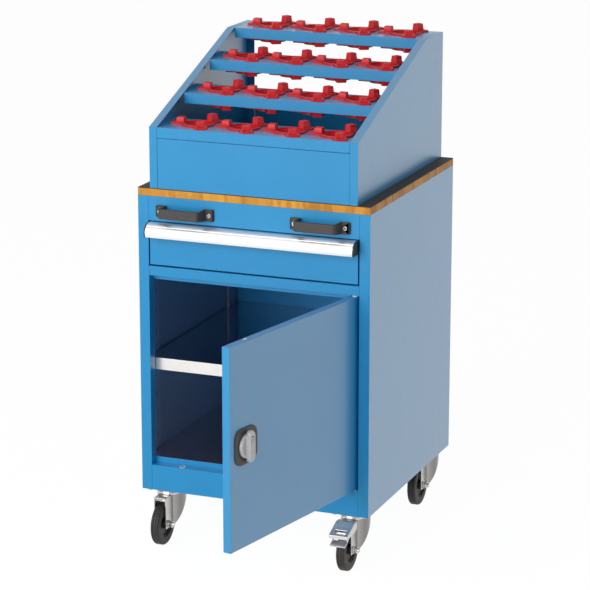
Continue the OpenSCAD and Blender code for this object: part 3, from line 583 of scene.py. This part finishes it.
def made(finish: Finish) -> bpy.types.Material:
    """Give a dataclass field that holds a finish's material, built when the dataclass is."""
    return field(default_factory=finish.build)


@dataclass
class Finishes:
    """All finishes of the cabinet, each made once."""

    paint: bpy.types.Material = made(PowderCoat("blue_powder_coat", (0.004, 0.285, 0.605)))
    # Painted shade: a darker, greyer copy of the blue coat for the side panels' inner walls.
    painted_shade_wall_coat: bpy.types.Material = made(
        PowderCoat("inner_wall_painted_shade", (0.16, 0.2, 0.33), roughness=0.5))
    # Painted shade: a greyer, darker copy of the blue coat for the shelf uprights inside.
    painted_shade_upright_coat: bpy.types.Material = made(
        PowderCoat("inner_upright_painted_shade", (0.22, 0.27, 0.42), roughness=0.5))
    # Painted light: a brighter, bluer copy of the blue coat for the back panel, for how it is lit
    # inside.
    painted_light_back_coat: bpy.types.Material = made(
        PowderCoat("inner_back_painted_light", (0.02, 0.31, 0.7), roughness=0.5))
    shelf_top: bpy.types.Material = made(
        PlatedSteel("bright_shelf_top", srgb(206, 206, 208), roughness=0.12, cloud=0.02))
    # Painted sheen: a greyer, duller copy of the blue coat for the door's upward faces, in place of
    # their gloss.
    painted_sheen_top_coat: bpy.types.Material = made(
        PowderCoat("door_top_painted_sheen", (0.11, 0.3, 0.62), roughness=0.5, gloss=0.1))
    floor_coat: bpy.types.Material = made(
        PlatedSteel("dark_floor_top", srgb(232, 208, 206), roughness=0.16, cloud=0.02))
    zinc: bpy.types.Material = made(PlatedSteel("zinc_plate", srgb(205, 203, 200)))
    galvanised: bpy.types.Material = made(
        PlatedSteel("galvanised_sheet", srgb(228, 226, 223), roughness=0.3, grain=20 * MM,
                    cloud=0.02))
    cup: bpy.types.Material = made(
        PlatedSteel("swivel_cup", srgb(206, 206, 214), roughness=0.2, cloud=0.02))
    brake: bpy.types.Material = made(
        PlatedSteel("brake_plate", srgb(212, 211, 212), roughness=0.42, cloud=0.03))
    grip: bpy.types.Material = made(DrawnAluminium("anodised_grip", srgb(246, 247, 249)))
    # Painted shade: a darker, duller copy of the grip's aluminium for its downward faces.
    grip_painted_shade_below: bpy.types.Material = made(
        DrawnAluminium("grip_painted_shade_underside", srgb(178, 176, 184), metallic=0.3))
    red: bpy.types.Material = made(
        MouldedPlastic("red_socket_plastic", srgb(222, 20, 32), roughness=0.45, glow=0.1))
    handle: bpy.types.Material = made(
        MouldedPlastic("dark_handle_plastic", srgb(62, 57, 54), roughness=0.55, depth=0.02 * MM))
    surround: bpy.types.Material = made(
        MouldedPlastic("surround_plastic", srgb(72, 67, 63), roughness=0.5))
    cap: bpy.types.Material = made(MouldedPlastic("cap_plastic", srgb(44, 42, 41), roughness=0.45))
    silver: bpy.types.Material = made(
        MouldedPlastic("silver_lock_plastic", srgb(198, 198, 200), roughness=0.34, metallic=0.25,
                       depth=0.006 * MM, tone=0.05))
    bush: bpy.types.Material = made(
        MouldedPlastic("white_bush_plastic", srgb(238, 238, 236), roughness=0.35))
    tyre: bpy.types.Material = made(Rubber("tyre_rubber", srgb(42, 37, 34), dust=srgb(60, 54, 50)))
    rim: bpy.types.Material = made(MouldedPlastic("rim_plastic", srgb(40, 36, 34), roughness=0.5))
    wood: bpy.types.Material = made(
        StaveWood("stave_board", srgb(238, 170, 58), dark=srgb(186, 118, 32)))
    laminate: bpy.types.Material = made(Laminate("dark_laminate", srgb(56, 55, 57)))


def dress(obj: bpy.types.Object, material: bpy.types.Material) -> None:
    """Give a piece one material, in place of those that it has.

    Args:
        obj: The piece.
        material: Its finish.
    """
    if not obj.data.materials:
        obj.data.materials.append(material)
    for index in range(len(obj.data.materials)):
        obj.data.materials[index] = material


def cleaned(mesh: bpy.types.Mesh) -> Shape:
    """Copy a CAD mesh with its points merged and its level faces joined.

    Args:
        mesh: The CAD node's mesh, which stays as it is.

    Returns:
        The copy.
    """
    shape = bmesh.new()
    shape.from_mesh(mesh)
    bmesh.ops.remove_doubles(shape, verts=shape.verts, dist=WELD)
    bmesh.ops.dissolve_limit(shape, angle_limit=LEVEL, verts=shape.verts, edges=shape.edges)
    return shape


def rounded(shape: Shape, radius: float, segments: int = ROUND_STEPS, angle: float = SHARP_DEGREES,
            chosen: EdgeTest = lambda edge: True) -> None:
    """Round the sharp edges of a shape.

    Args:
        shape: The shape.
        radius: The rounding in metres.
        segments: How many faces a rounding has.
        angle: Edges that turn more than this, in degrees, are sharp.
        chosen: Says which of the sharp edges are rounded.
    """
    sharp = [e for e in shape.edges
             if e.is_manifold and e.calc_face_angle(0) > math.radians(angle) and chosen(e)]
    bmesh.ops.bevel(shape, geom=sharp, offset=radius, offset_type="OFFSET", segments=segments,
                    profile=0.5, affect="EDGES", clamp_overlap=False, material=-1)


def lathe(profile: Sequence[tuple[float, float]], centre: Vector, steps: int = 48) -> Shape:
    """Turn a closed outline round an upright axis.

    Args:
        profile: Points of radius and height in metres.
        centre: Where the axis stands, with the height that the outline counts from.
        steps: How many faces go round.

    Returns:
        The turned shape.
    """
    shape = bmesh.new()
    points = [shape.verts.new(centre + Vector((r, 0, z))) for r, z in profile]
    edges = [shape.edges.new((a, b)) for a, b in zip(points, points[1:] + points[:1])]
    bmesh.ops.spin(shape, geom=points + edges, cent=centre, axis=(0, 0, 1), angle=math.tau,
                   steps=steps, use_merge=True)
    bmesh.ops.recalc_face_normals(shape, faces=shape.faces)
    return shape


def loose_parts(shape: Shape) -> list[set[bmesh.types.BMVert]]:
    """Find the parts of a shape that no edge joins.

    Args:
        shape: The shape.

    Returns:
        The points of each part.
    """
    left = set(shape.verts)
    parts = []
    for start in shape.verts:
        if start not in left:
            continue
        left.discard(start)
        part, queue = set(), [start]
        while queue:
            vert = queue.pop()
            part.add(vert)
            near = {edge.other_vert(vert) for edge in vert.link_edges} & left
            left -= near
            queue.extend(near)
        parts.append(part)
    return parts


def add_object(name: str, shape: Shape) -> bpy.types.Object:
    """Turn a bmesh to an object in the scene.

    Args:
        name: The object's name.
        shape: Its mesh in metres, which is freed.

    Returns:
        The object, at the origin.
    """
    mesh = bpy.data.meshes.new(name)
    shape.to_mesh(mesh)
    shape.free()
    obj = bpy.data.objects.new(name, mesh)
    bpy.context.scene.collection.objects.link(obj)
    return obj


@dataclass
class Cabinet:
    """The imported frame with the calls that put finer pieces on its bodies."""

    frame: dict
    finishes: Finishes
    pieces: int = 0

    def body_of(self, node: str) -> str:
        """Name the body that a CAD node belongs to."""
        bodies = self.frame["record"]["behaviour"]["bodies"]
        return next(name for name, nodes in bodies.items() if node in nodes)

    def paint(self, node: str, material: bpy.types.Material) -> None:
        """Dress a CAD node that keeps its own mesh."""
        dress(self.frame["nodes"][node], material)
        LOG.info("node %s: %s", node, material.name)

    def soften(self, node: str, material: bpy.types.Material, slot: str, radius: float,
               segments: int = ROUND_STEPS, angle: float = SHARP_DEGREES,
               chosen: EdgeTest = lambda edge: True) -> bpy.types.Object:
        """Stand a copy of a node with rounded edges in its place.

        Args:
            node: The CAD node.
            material: The finish.
            slot: The record's material slot.
            radius: The rounding in metres.
            segments: How many faces a rounding has.
            angle: Edges that turn more than this, in degrees, are rounded.
            chosen: Says which of the sharp edges are rounded.

        Returns:
            The new piece.
        """
        shape = cleaned(self.frame["nodes"][node].data)
        rounded(shape, radius, segments, angle, chosen)
        return self.replacement(node, shape, material, slot)

    def replacement(self, node: str, shape: Shape, material: bpy.types.Material,
                    slot: str) -> bpy.types.Object:
        """Stand a finer shape in the place of a node.

        Args:
            node: The CAD node.
            shape: The finer shape.
            material: The finish.
            slot: The record's material slot.

        Returns:
            The new piece.
        """
        obj = self.piece(f"{node}_fine", shape, material, slot, self.body_of(node))
        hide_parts(node)
        return obj

    def coat_faces(self, obj: bpy.types.Object, material: bpy.types.Material,
                   chosen: Callable[[bpy.types.MeshPolygon], bool]) -> None:
        """Give some faces of a piece a second finish.

        Args:
            obj: The piece.
            material: The second finish.
            chosen: Says which faces get it.
        """
        obj.data.materials.append(material)
        index = len(obj.data.materials) - 1
        for face in obj.data.polygons:
            if chosen(face):
                face.material_index = index

    def coat_top(self, obj: bpy.types.Object, material: bpy.types.Material) -> None:
        """Give the faces of a piece that look up a second finish."""
        self.coat_faces(obj, material, lambda face: face.normal.z > LOOKS_ALONG)

    def piece(self, name: str, shape: Shape, material: bpy.types.Material, slot: str,
              body: str) -> bpy.types.Object:
        """Turn a bmesh to an object that rides on a body.

        Args:
            name: The object's name.
            shape: Its mesh, in the frame's metres.
            material: The finish.
            slot: The record's material slot; not used.
            body: The body that carries it.

        Returns:
            The new piece.
        """
        obj = add_object(name, shape)
        obj.data.shade_smooth()
        obj.data.set_sharp_from_angle(angle=math.radians(CREASE_DEGREES))
        dress(obj, material)
        obj.modifiers.new("even_shading", "WEIGHTED_NORMAL").keep_sharp = True
        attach(obj, body)
        self.pieces += 1
        LOG.info("piece %s on %s: %d faces", name, body, len(obj.data.polygons))
        return obj


@dataclass(frozen=True)
class Ring:
    """A flat ring with a softened upper edge: where it stands, its radii and its height in metres."""

    name: str
    foot: Point
    inner: float
    outer: float
    height: float
    soft: float = 0.3 * MM

    def shape(self) -> Shape:
        """Turn the ring's outline round its axis.

        Returns:
            The ring.
        """
        outline = [(self.inner, 0), (self.outer, 0), (self.outer, self.height - self.soft),
                   (self.outer - self.soft, self.height), (self.inner, self.height)]
        return lathe(outline, Vector(self.foot))


@dataclass
class Carcass:
    """The sheet-metal body with its shelf, its uprights and its screws."""

    cabinet: Cabinet
    edge: float = 0.3 * MM
    screw_edge: float = 0.5 * MM
    inner_x: float = 277 * MM
    strike: Ring = Ring("strike_bush", (-181 * MM, -275.5 * MM, 191 * MM),
                        inner=4.3 * MM, outer=7.8 * MM, height=0.9 * MM)
    washer: Ring = Ring("hinge_washer", (243 * MM, -277 * MM, 191 * MM),
                        inner=7.1 * MM, outer=9.5 * MM, height=1.3 * MM)

    def dress(self) -> None:
        """Round and paint the sheets, and set the two rings at the door's lower edge."""
        cabinet, finishes = self.cabinet, self.cabinet.finishes
        for node in ("plinth_rail", "mid_rail", "handle_fascia"):
            cabinet.soften(node, finishes.paint, "body_blue", self.edge)
        for node in ("side_panel_left", "side_panel_right"):
            panel = cabinet.soften(node, finishes.paint, "body_blue", self.edge)
            # Painted shade: the side panels' inner walls get a darker, greyer coat.
            cabinet.coat_faces(panel, finishes.painted_shade_wall_coat, self.is_painted_shade_wall)
        floor = cabinet.soften("floor_panel", finishes.paint, "inner_blue", self.edge)
        cabinet.coat_top(floor, finishes.floor_coat)
        # Painted light on the back panel: a brighter, bluer copy of the coat.
        cabinet.paint("back_panel", finishes.painted_light_back_coat)
        # Painted shade on the shelf uprights.
        cabinet.paint("shelf_uprights", finishes.painted_shade_upright_coat)
        for node in ("base_panel", "top_panel"):
            cabinet.paint(node, finishes.paint)
        for ring, finish in ((self.strike, finishes.bush), (self.washer, finishes.galvanised)):
            cabinet.piece(ring.name, ring.shape(), finish, "bush_white", "cabinet")
        shelf = cabinet.soften("shelf", finishes.galvanised, "shelf_grey", self.edge)
        cabinet.coat_top(shelf, finishes.shelf_top)
        for node in ("shelf_clips", "hinge_pins"):
            cabinet.paint(node, finishes.zinc)
        cabinet.soften("fixing_screws", finishes.zinc, "zinc", self.screw_edge)

    def is_painted_shade_wall(self, face: bpy.types.MeshPolygon) -> bool:
        """Say whether a side panel's face is its wall towards the compartment, which gets painted
        shade.

        Args:
            face: A face of a side panel.

        Returns:
            True for the inner wall.
        """
        x, turn = face.center.x, face.normal.x
        return x * turn < 0 and abs(x) > self.inner_x and abs(turn) > LOOKS_ALONG


@dataclass
class Worktop:
    """The board with its dark surface layer."""

    cabinet: Cabinet
    board_edge: float = 0.6 * MM
    layer_edge: float = 0.35 * MM

    def dress(self) -> None:
        """Finish both layers."""
        finishes = self.cabinet.finishes
        self.cabinet.soften("worktop_board", finishes.wood, "board", self.board_edge)
        self.cabinet.soften("worktop_laminate", finishes.laminate, "surface_layer", self.layer_edge)


@dataclass
class Rack:
    """The stepped rack and its red sockets, each with a flange round a recess and lugs on top."""

    cabinet: Cabinet
    edge: float = 0.5 * MM
    first: Point = (-157 * MM, -222.5 * MM, 988 * MM)
    flange: float = 4.5 * MM
    recess_edge: float = 30.5 * MM
    flange_edge: float = 32 * MM
    lug_foot: float = 2 * MM
    outer_round: float = 0.9 * MM
    inner_round: float = 0.25 * MM
    slack: float = 0.01 * MM

    def dress(self) -> None:
        """Round and paint the sheets, and finish the sockets."""
        for node in ("rack_side_left", "rack_side_right", "rack_front_panel", "rack_back_panel",
                     "rack_shelves"):
            self.cabinet.soften(node, self.cabinet.finishes.paint, "rack_blue", self.edge)
        self.sockets()

    def sockets(self) -> None:
        """Round one socket's moulded edges, and set copies of it in all the sockets' places."""
        shape = cleaned(self.cabinet.frame["nodes"]["tool_inserts"].data)
        parts = loose_parts(shape)
        corners = [Vector(min(v.co[axis] for v in part) for axis in range(3)) for part in parts]
        middles = [sum((v.co for v in part), Vector()) / len(part) for part in parts]
        nearest = min(range(len(parts)), key=lambda i: (middles[i] - Vector(self.first)).length)
        others = [v for v in shape.verts if v not in parts[nearest]]
        bmesh.ops.delete(shape, geom=others, context="VERTS")
        self.round_socket(shape)
        model = list(shape.verts) + list(shape.edges) + list(shape.faces)
        for number, corner in enumerate(corners):
            if number != nearest:
                copy = bmesh.ops.duplicate(shape, geom=model)["geom"]
                bmesh.ops.translate(shape, vec=corner - corners[nearest],
                                    verts=[v for v in copy if isinstance(v, bmesh.types.BMVert)])
        LOG.info("%d sockets", len(corners))
        self.cabinet.replacement("tool_inserts", shape, self.cabinet.finishes.red, "socket_red")

    def round_socket(self, shape: Shape) -> None:
        """Round the lugs, the flange's outer edge and the recess of the first socket.

        Args:
            shape: The socket.
        """
        centre = Vector(self.first)
        top = centre.z + self.flange

        def reach(edge: bmesh.types.BMEdge) -> float:
            """Give how near an edge comes to the socket's axis."""
            return min((v.co - centre).to_2d().length for v in edge.verts)

        def height(edge: bmesh.types.BMEdge) -> float:
            """Give the height of an edge's upper end."""
            return max(v.co.z for v in edge.verts)

        rounded(shape, self.outer_round, FINE_STEPS,
                chosen=lambda e: e.is_convex and height(e) > top + self.lug_foot)
        rounded(shape, self.outer_round, FINE_STEPS,
                chosen=lambda e: (e.is_convex and abs(height(e) - top) < self.slack
                                  and reach(e) > self.flange_edge))
        rounded(shape, self.inner_round, 1,
                chosen=lambda e: (e.is_convex and height(e) < top + self.slack
                                  and reach(e) < self.recess_edge))


@dataclass
class Drawer:
    """The drawer, its grip and its runners, and the push handles above it."""

    cabinet: Cabinet
    edge: float = 0.5 * MM
    cap_edge: float = 0.6 * MM
    handle_edge: float = 1.4 * MM
    handle_x: float = 163 * MM
    handle_z: float = 798 * MM
    screw_x: float = 60 * MM
    screw_room: float = 6.5 * MM
    under: float = -0.5

    def dress(self) -> None:
        """Finish the drawer and the handles."""
        cabinet, finishes = self.cabinet, self.cabinet.finishes
        cabinet.soften("drawer_front", finishes.paint, "body_blue", self.edge)
        cabinet.paint("drawer_box", finishes.paint)
        grip = cabinet.soften("drawer_grip", finishes.grip, "grip_metal", self.edge, FINE_STEPS)
        # Painted shade on the grip's downward faces.
        cabinet.coat_faces(grip, finishes.grip_painted_shade_below, lambda face: face.normal.z < self.under)
        cabinet.soften("grip_end_caps", finishes.cap, "cap_black", self.cap_edge, FINE_STEPS)
        for node in ("cabinet_runners", "middle_runners", "drawer_runners"):
            cabinet.paint(node, finishes.zinc)
        for node, side in (("push_handle_left", -1), ("push_handle_right", 1)):
            self.handle(node, side * self.handle_x)

    def handle(self, node: str, x: float) -> None:
        """Round a push handle, but not the seats of its screws.

        Args:
            node: The handle's CAD node.
            x: The place of its middle.
        """
        screws = [Vector((x + end * self.screw_x, self.handle_z)) for end in (-1, 1)]
        self.cabinet.soften(
            node, self.cabinet.finishes.handle, "handle_dark", self.handle_edge, FINE_STEPS,
            chosen=lambda e: all((v.co.xz - screw).length > self.screw_room
                                 for screw in screws for v in e.verts))


@dataclass
class Door:
    """The door with its lock and its rods, whose tips are white."""

    cabinet: Cabinet
    edge: float = 0.5 * MM
    surround_edge: float = 0.9 * MM
    handle_edge: float = 1.6 * MM
    cylinder_edge: float = 0.4 * MM
    rod_edge: float = 0.3 * MM
    lock_z: float = 417.25 * MM
    tip_from: float = 222 * MM

    def dress(self) -> None:
        """Finish the door and its lock."""
        cabinet, finishes = self.cabinet, self.cabinet.finishes
        skin = cabinet.soften("door_skin", finishes.paint, "body_blue", self.edge)
        # Painted sheen: the door's upward faces get a greyer, duller coat.
        cabinet.coat_top(skin, finishes.painted_sheen_top_coat)
        cabinet.paint("door_inner_panel", finishes.paint)
        cabinet.paint("hinge_bushes", finishes.bush)
        cabinet.soften("lock_surround", finishes.surround, "surround_grey", self.surround_edge,
                       FINE_STEPS)
        cabinet.soften("lock_handle", finishes.silver, "lock_silver", self.handle_edge, FINE_STEPS)
        cabinet.soften("lock_cylinder", finishes.silver, "key_chrome", self.cylinder_edge)
        cabinet.paint("lock_cam", finishes.zinc)
        for node in ("locking_rod_top", "locking_rod_bottom"):
            rod = cabinet.soften(node, finishes.zinc, "zinc", self.rod_edge)
            cabinet.coat_faces(rod, finishes.bush,
                               lambda face: abs(face.center.z - self.lock_z) > self.tip_from)


@dataclass
class Castors:
    """The four castors, with the brake on the front right one. The cup's outline is in mm."""

    cabinet: Cabinet
    edge: float = 0.6 * MM
    bolt_edge: float = 0.4 * MM
    fork_edge: float = 0.7 * MM
    wheel_edge: float = 0.5 * MM
    tread_degrees: float = 12
    place: tuple[float, float] = (229.7 * MM, 241.7 * MM)
    cup_steps: int = 64
    cup: tuple[tuple[float, float], ...] = (
        (30.2, 116.8), (31.2, 116.8), (31.5, 118), (31.3, 120.5), (30.4, 123), (28.8, 125.6),
        (26.8, 128), (25.2, 130.9), (24.2, 130.9), (25.8, 127.6), (27.8, 125), (29.4, 122.5),
        (30.2, 120))
    steel: Colour = srgb(205, 203, 200)
    # Painted reflection on the forks: bands of tone along the legs' length.
    painted_reflection_sweep: tuple[tuple[float, float], ...] = (
        (0, 0.95), (0.3, 0.85), (0.62, 0.42), (0.82, 0.55), (1, 1))

    def dress(self) -> None:
        """Finish plates, forks, axles, wheels and the brake, and set the cups."""
        cabinet, finishes = self.cabinet, self.cabinet.finishes
        cabinet.soften("castor_plates", finishes.zinc, "zinc", self.edge)
        cabinet.soften("castor_bolts", finishes.zinc, "zinc", self.bolt_edge)
        for corner in Corner:
            name = corner.value
            cabinet.soften(f"fork_{name}", self.fork_steel_with_painted_reflection(f"fork_{name}"), "zinc", self.fork_edge)
            cabinet.soften(f"axle_{name}", finishes.zinc, "zinc", self.wheel_edge)
            cabinet.soften(f"tyre_{name}", finishes.tyre, "tread", self.wheel_edge,
                           angle=self.tread_degrees)
            cabinet.soften(f"rim_{name}", finishes.rim, "rim_grey", self.edge)
        for node in ("brake_cover", "brake_pedal"):
            cabinet.soften(node, finishes.brake, "zinc", self.edge)
        for corner in Corner:
            self.set_cup(corner)

    def fork_steel_with_painted_reflection(self, node: str) -> bpy.types.Material:
        """Make a fork's own steel, with a painted reflection whose tone sweeps over the length of its
        legs.

        Args:
            node: The fork's CAD node.

        Returns:
            The material.
        """
        ends = [v.co.y for v in self.cabinet.frame["nodes"][node].data.vertices]
        return PlatedSteel(f"{node}_steel", self.steel, painted_reflection_sweep=self.painted_reflection_sweep,
                           span=(min(ends), max(ends))).build()

    def set_cup(self, corner: Corner) -> None:
        """Set a smooth cup round a castor's races.

        Args:
            corner: The castor's corner.
        """
        x, y = (sign * place for sign, place in zip(corner.signs, self.place))
        shape = lathe([(r * MM, z * MM) for r, z in self.cup], Vector((x, y, 0)), self.cup_steps)
        self.cabinet.piece(f"swivel_cup_{corner.value}", shape, self.cabinet.finishes.cup, "zinc",
                           "cabinet")


@dataclass(frozen=True)
class Lamp:
    """A square soft box: its place and size in metres, and its power in watts."""

    name: str
    place: Point
    size: float
    power: float


@dataclass
class Studio:
    """A white room: floor, soft lamps, and the camera at the photograph's angle."""

    azimuth: float = 21.8
    elevation: float = 14.836
    distance: float = 6.0
    aim_height: float = 0.6
    shift_right: float = -0.010649
    shift_up: float = -0.045687
    lens: float = 156.226
    sensor: float = 36
    far: float = 100
    fill: float = 0.27
    floor_half: float = 30
    floor_grey: Colour = (0.88, 0.88, 0.88)
    floor_glow: float = 1.04
    floor_white: float = 0.93
    lamp_aim: Point = (0, 0, 0.55)
    lamp_gloss: float = 0.15
    lamps: tuple[Lamp, ...] = (
        Lamp("front_box", (-0.9, -3.6, 1.7), 2.8, 101),
        Lamp("side_box", (3.6, 1.4, 1.5), 2.4, 13),
        Lamp("top_box", (0.2, -0.6, 3.6), 2.2, 6))

    def build(self) -> None:
        """Make the world, the floor, the lamps and the camera."""
        bpy.context.scene.view_settings.view_transform = "Standard"
        self.make_world()
        self.make_floor()
        for lamp in self.lamps:
            self.make_lamp(lamp)
        self.make_camera()

    def make_world(self) -> None:
        """White to the camera, in reflections and through glass, and a dim fill for the rest."""
        world = bpy.data.worlds.new("studio")
        bpy.context.scene.world = world
        world.use_nodes = True
        tree = world.node_tree
        tree.nodes.clear()
        seen, path = seen_directly(tree)
        through = tree.nodes.new("ShaderNodeMath")
        through.operation = "MAXIMUM"
        tree.links.new(seen, through.inputs[0])
        tree.links.new(path.outputs["Is Transmission Ray"], through.inputs[1])
        strength = tree.nodes.new("ShaderNodeMapRange")
        strength.inputs["To Min"].default_value = self.fill
        strength.inputs["To Max"].default_value = 1
        tree.links.new(through.outputs[0], strength.inputs["Value"])
        background = tree.nodes.new("ShaderNodeBackground")
        tree.links.new(strength.outputs["Result"], background.inputs["Strength"])
        output = tree.nodes.new("ShaderNodeOutputWorld")
        tree.links.new(background.outputs[0], output.inputs["Surface"])

    def make_floor(self) -> None:
        """A pale floor that shows white and keeps a faint shadow."""
        shape = bmesh.new()
        bmesh.ops.create_grid(shape, x_segments=1, y_segments=1, size=self.floor_half)
        floor = add_object("floor", shape)
        graph = Graph("studio_floor")
        graph.set(Base_Color=(*self.floor_grey, 1), Roughness=0.9, Specular_IOR_Level=0.0)
        glow = graph.add("ShaderNodeEmission")
        glow.inputs["Strength"].default_value = self.floor_glow
        share = graph.add("ShaderNodeMath", operation="MULTIPLY")
        share.inputs[1].default_value = self.floor_white
        graph.join(seen_directly(graph.tree)[0], share.inputs[0])
        mix = graph.add("ShaderNodeMixShader")
        graph.join(share.outputs[0], mix.inputs["Fac"])
        graph.join(graph.shader.outputs["BSDF"], mix.inputs[1])
        graph.join(glow.outputs[0], mix.inputs[2])
        graph.join(mix.outputs[0], graph.output.inputs["Surface"])
        dress(floor, graph.material)

    def make_lamp(self, lamp: Lamp) -> None:
        """Hang a soft box that looks at the cabinet's middle.

        Args:
            lamp: The soft box.
        """
        light = bpy.data.lights.new(lamp.name, "AREA")
        light.size = lamp.size
        light.energy = lamp.power
        light.specular_factor = self.lamp_gloss
        obj = bpy.data.objects.new(lamp.name, light)
        bpy.context.scene.collection.objects.link(obj)
        obj.location = lamp.place
        towards = Vector(self.lamp_aim) - obj.location
        obj.rotation_euler = towards.to_track_quat("-Z", "Y").to_euler()

    def make_camera(self) -> None:
        """The camera that was fitted to the photograph."""
        azimuth, elevation = math.radians(self.azimuth), math.radians(self.elevation)
        back = Vector((math.sin(azimuth) * math.cos(elevation),
                       -math.cos(azimuth) * math.cos(elevation), math.sin(elevation)))
        right = Vector((math.cos(azimuth), math.sin(azimuth), 0))
        up = back.cross(right)
        aim = Vector((0, 0, self.aim_height)) + right * self.shift_right + up * self.shift_up
        lens = bpy.data.cameras.new("camera")
        lens.lens = self.lens
        lens.sensor_width = self.sensor
        lens.clip_end = self.far
        camera = bpy.data.objects.new("camera", lens)
        bpy.context.scene.collection.objects.link(camera)
        camera.matrix_world = Matrix.Translation(aim + back * self.distance) @ Matrix(
            (right, up, back)).transposed().to_4x4()
        bpy.context.scene.camera = camera


def main() -> None:
    """Build the scene in order."""
    logging.basicConfig(level=logging.INFO, format="%(name)s: %(message)s")
    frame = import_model()
    cabinet = Cabinet(frame, Finishes())
    for assembly in (Carcass, Worktop, Rack, Drawer, Door, Castors):
        assembly(cabinet).dress()
    Studio().build()
    LOG.info("%d new pieces", cabinet.pieces)


if __name__ == "__main__":
    main()
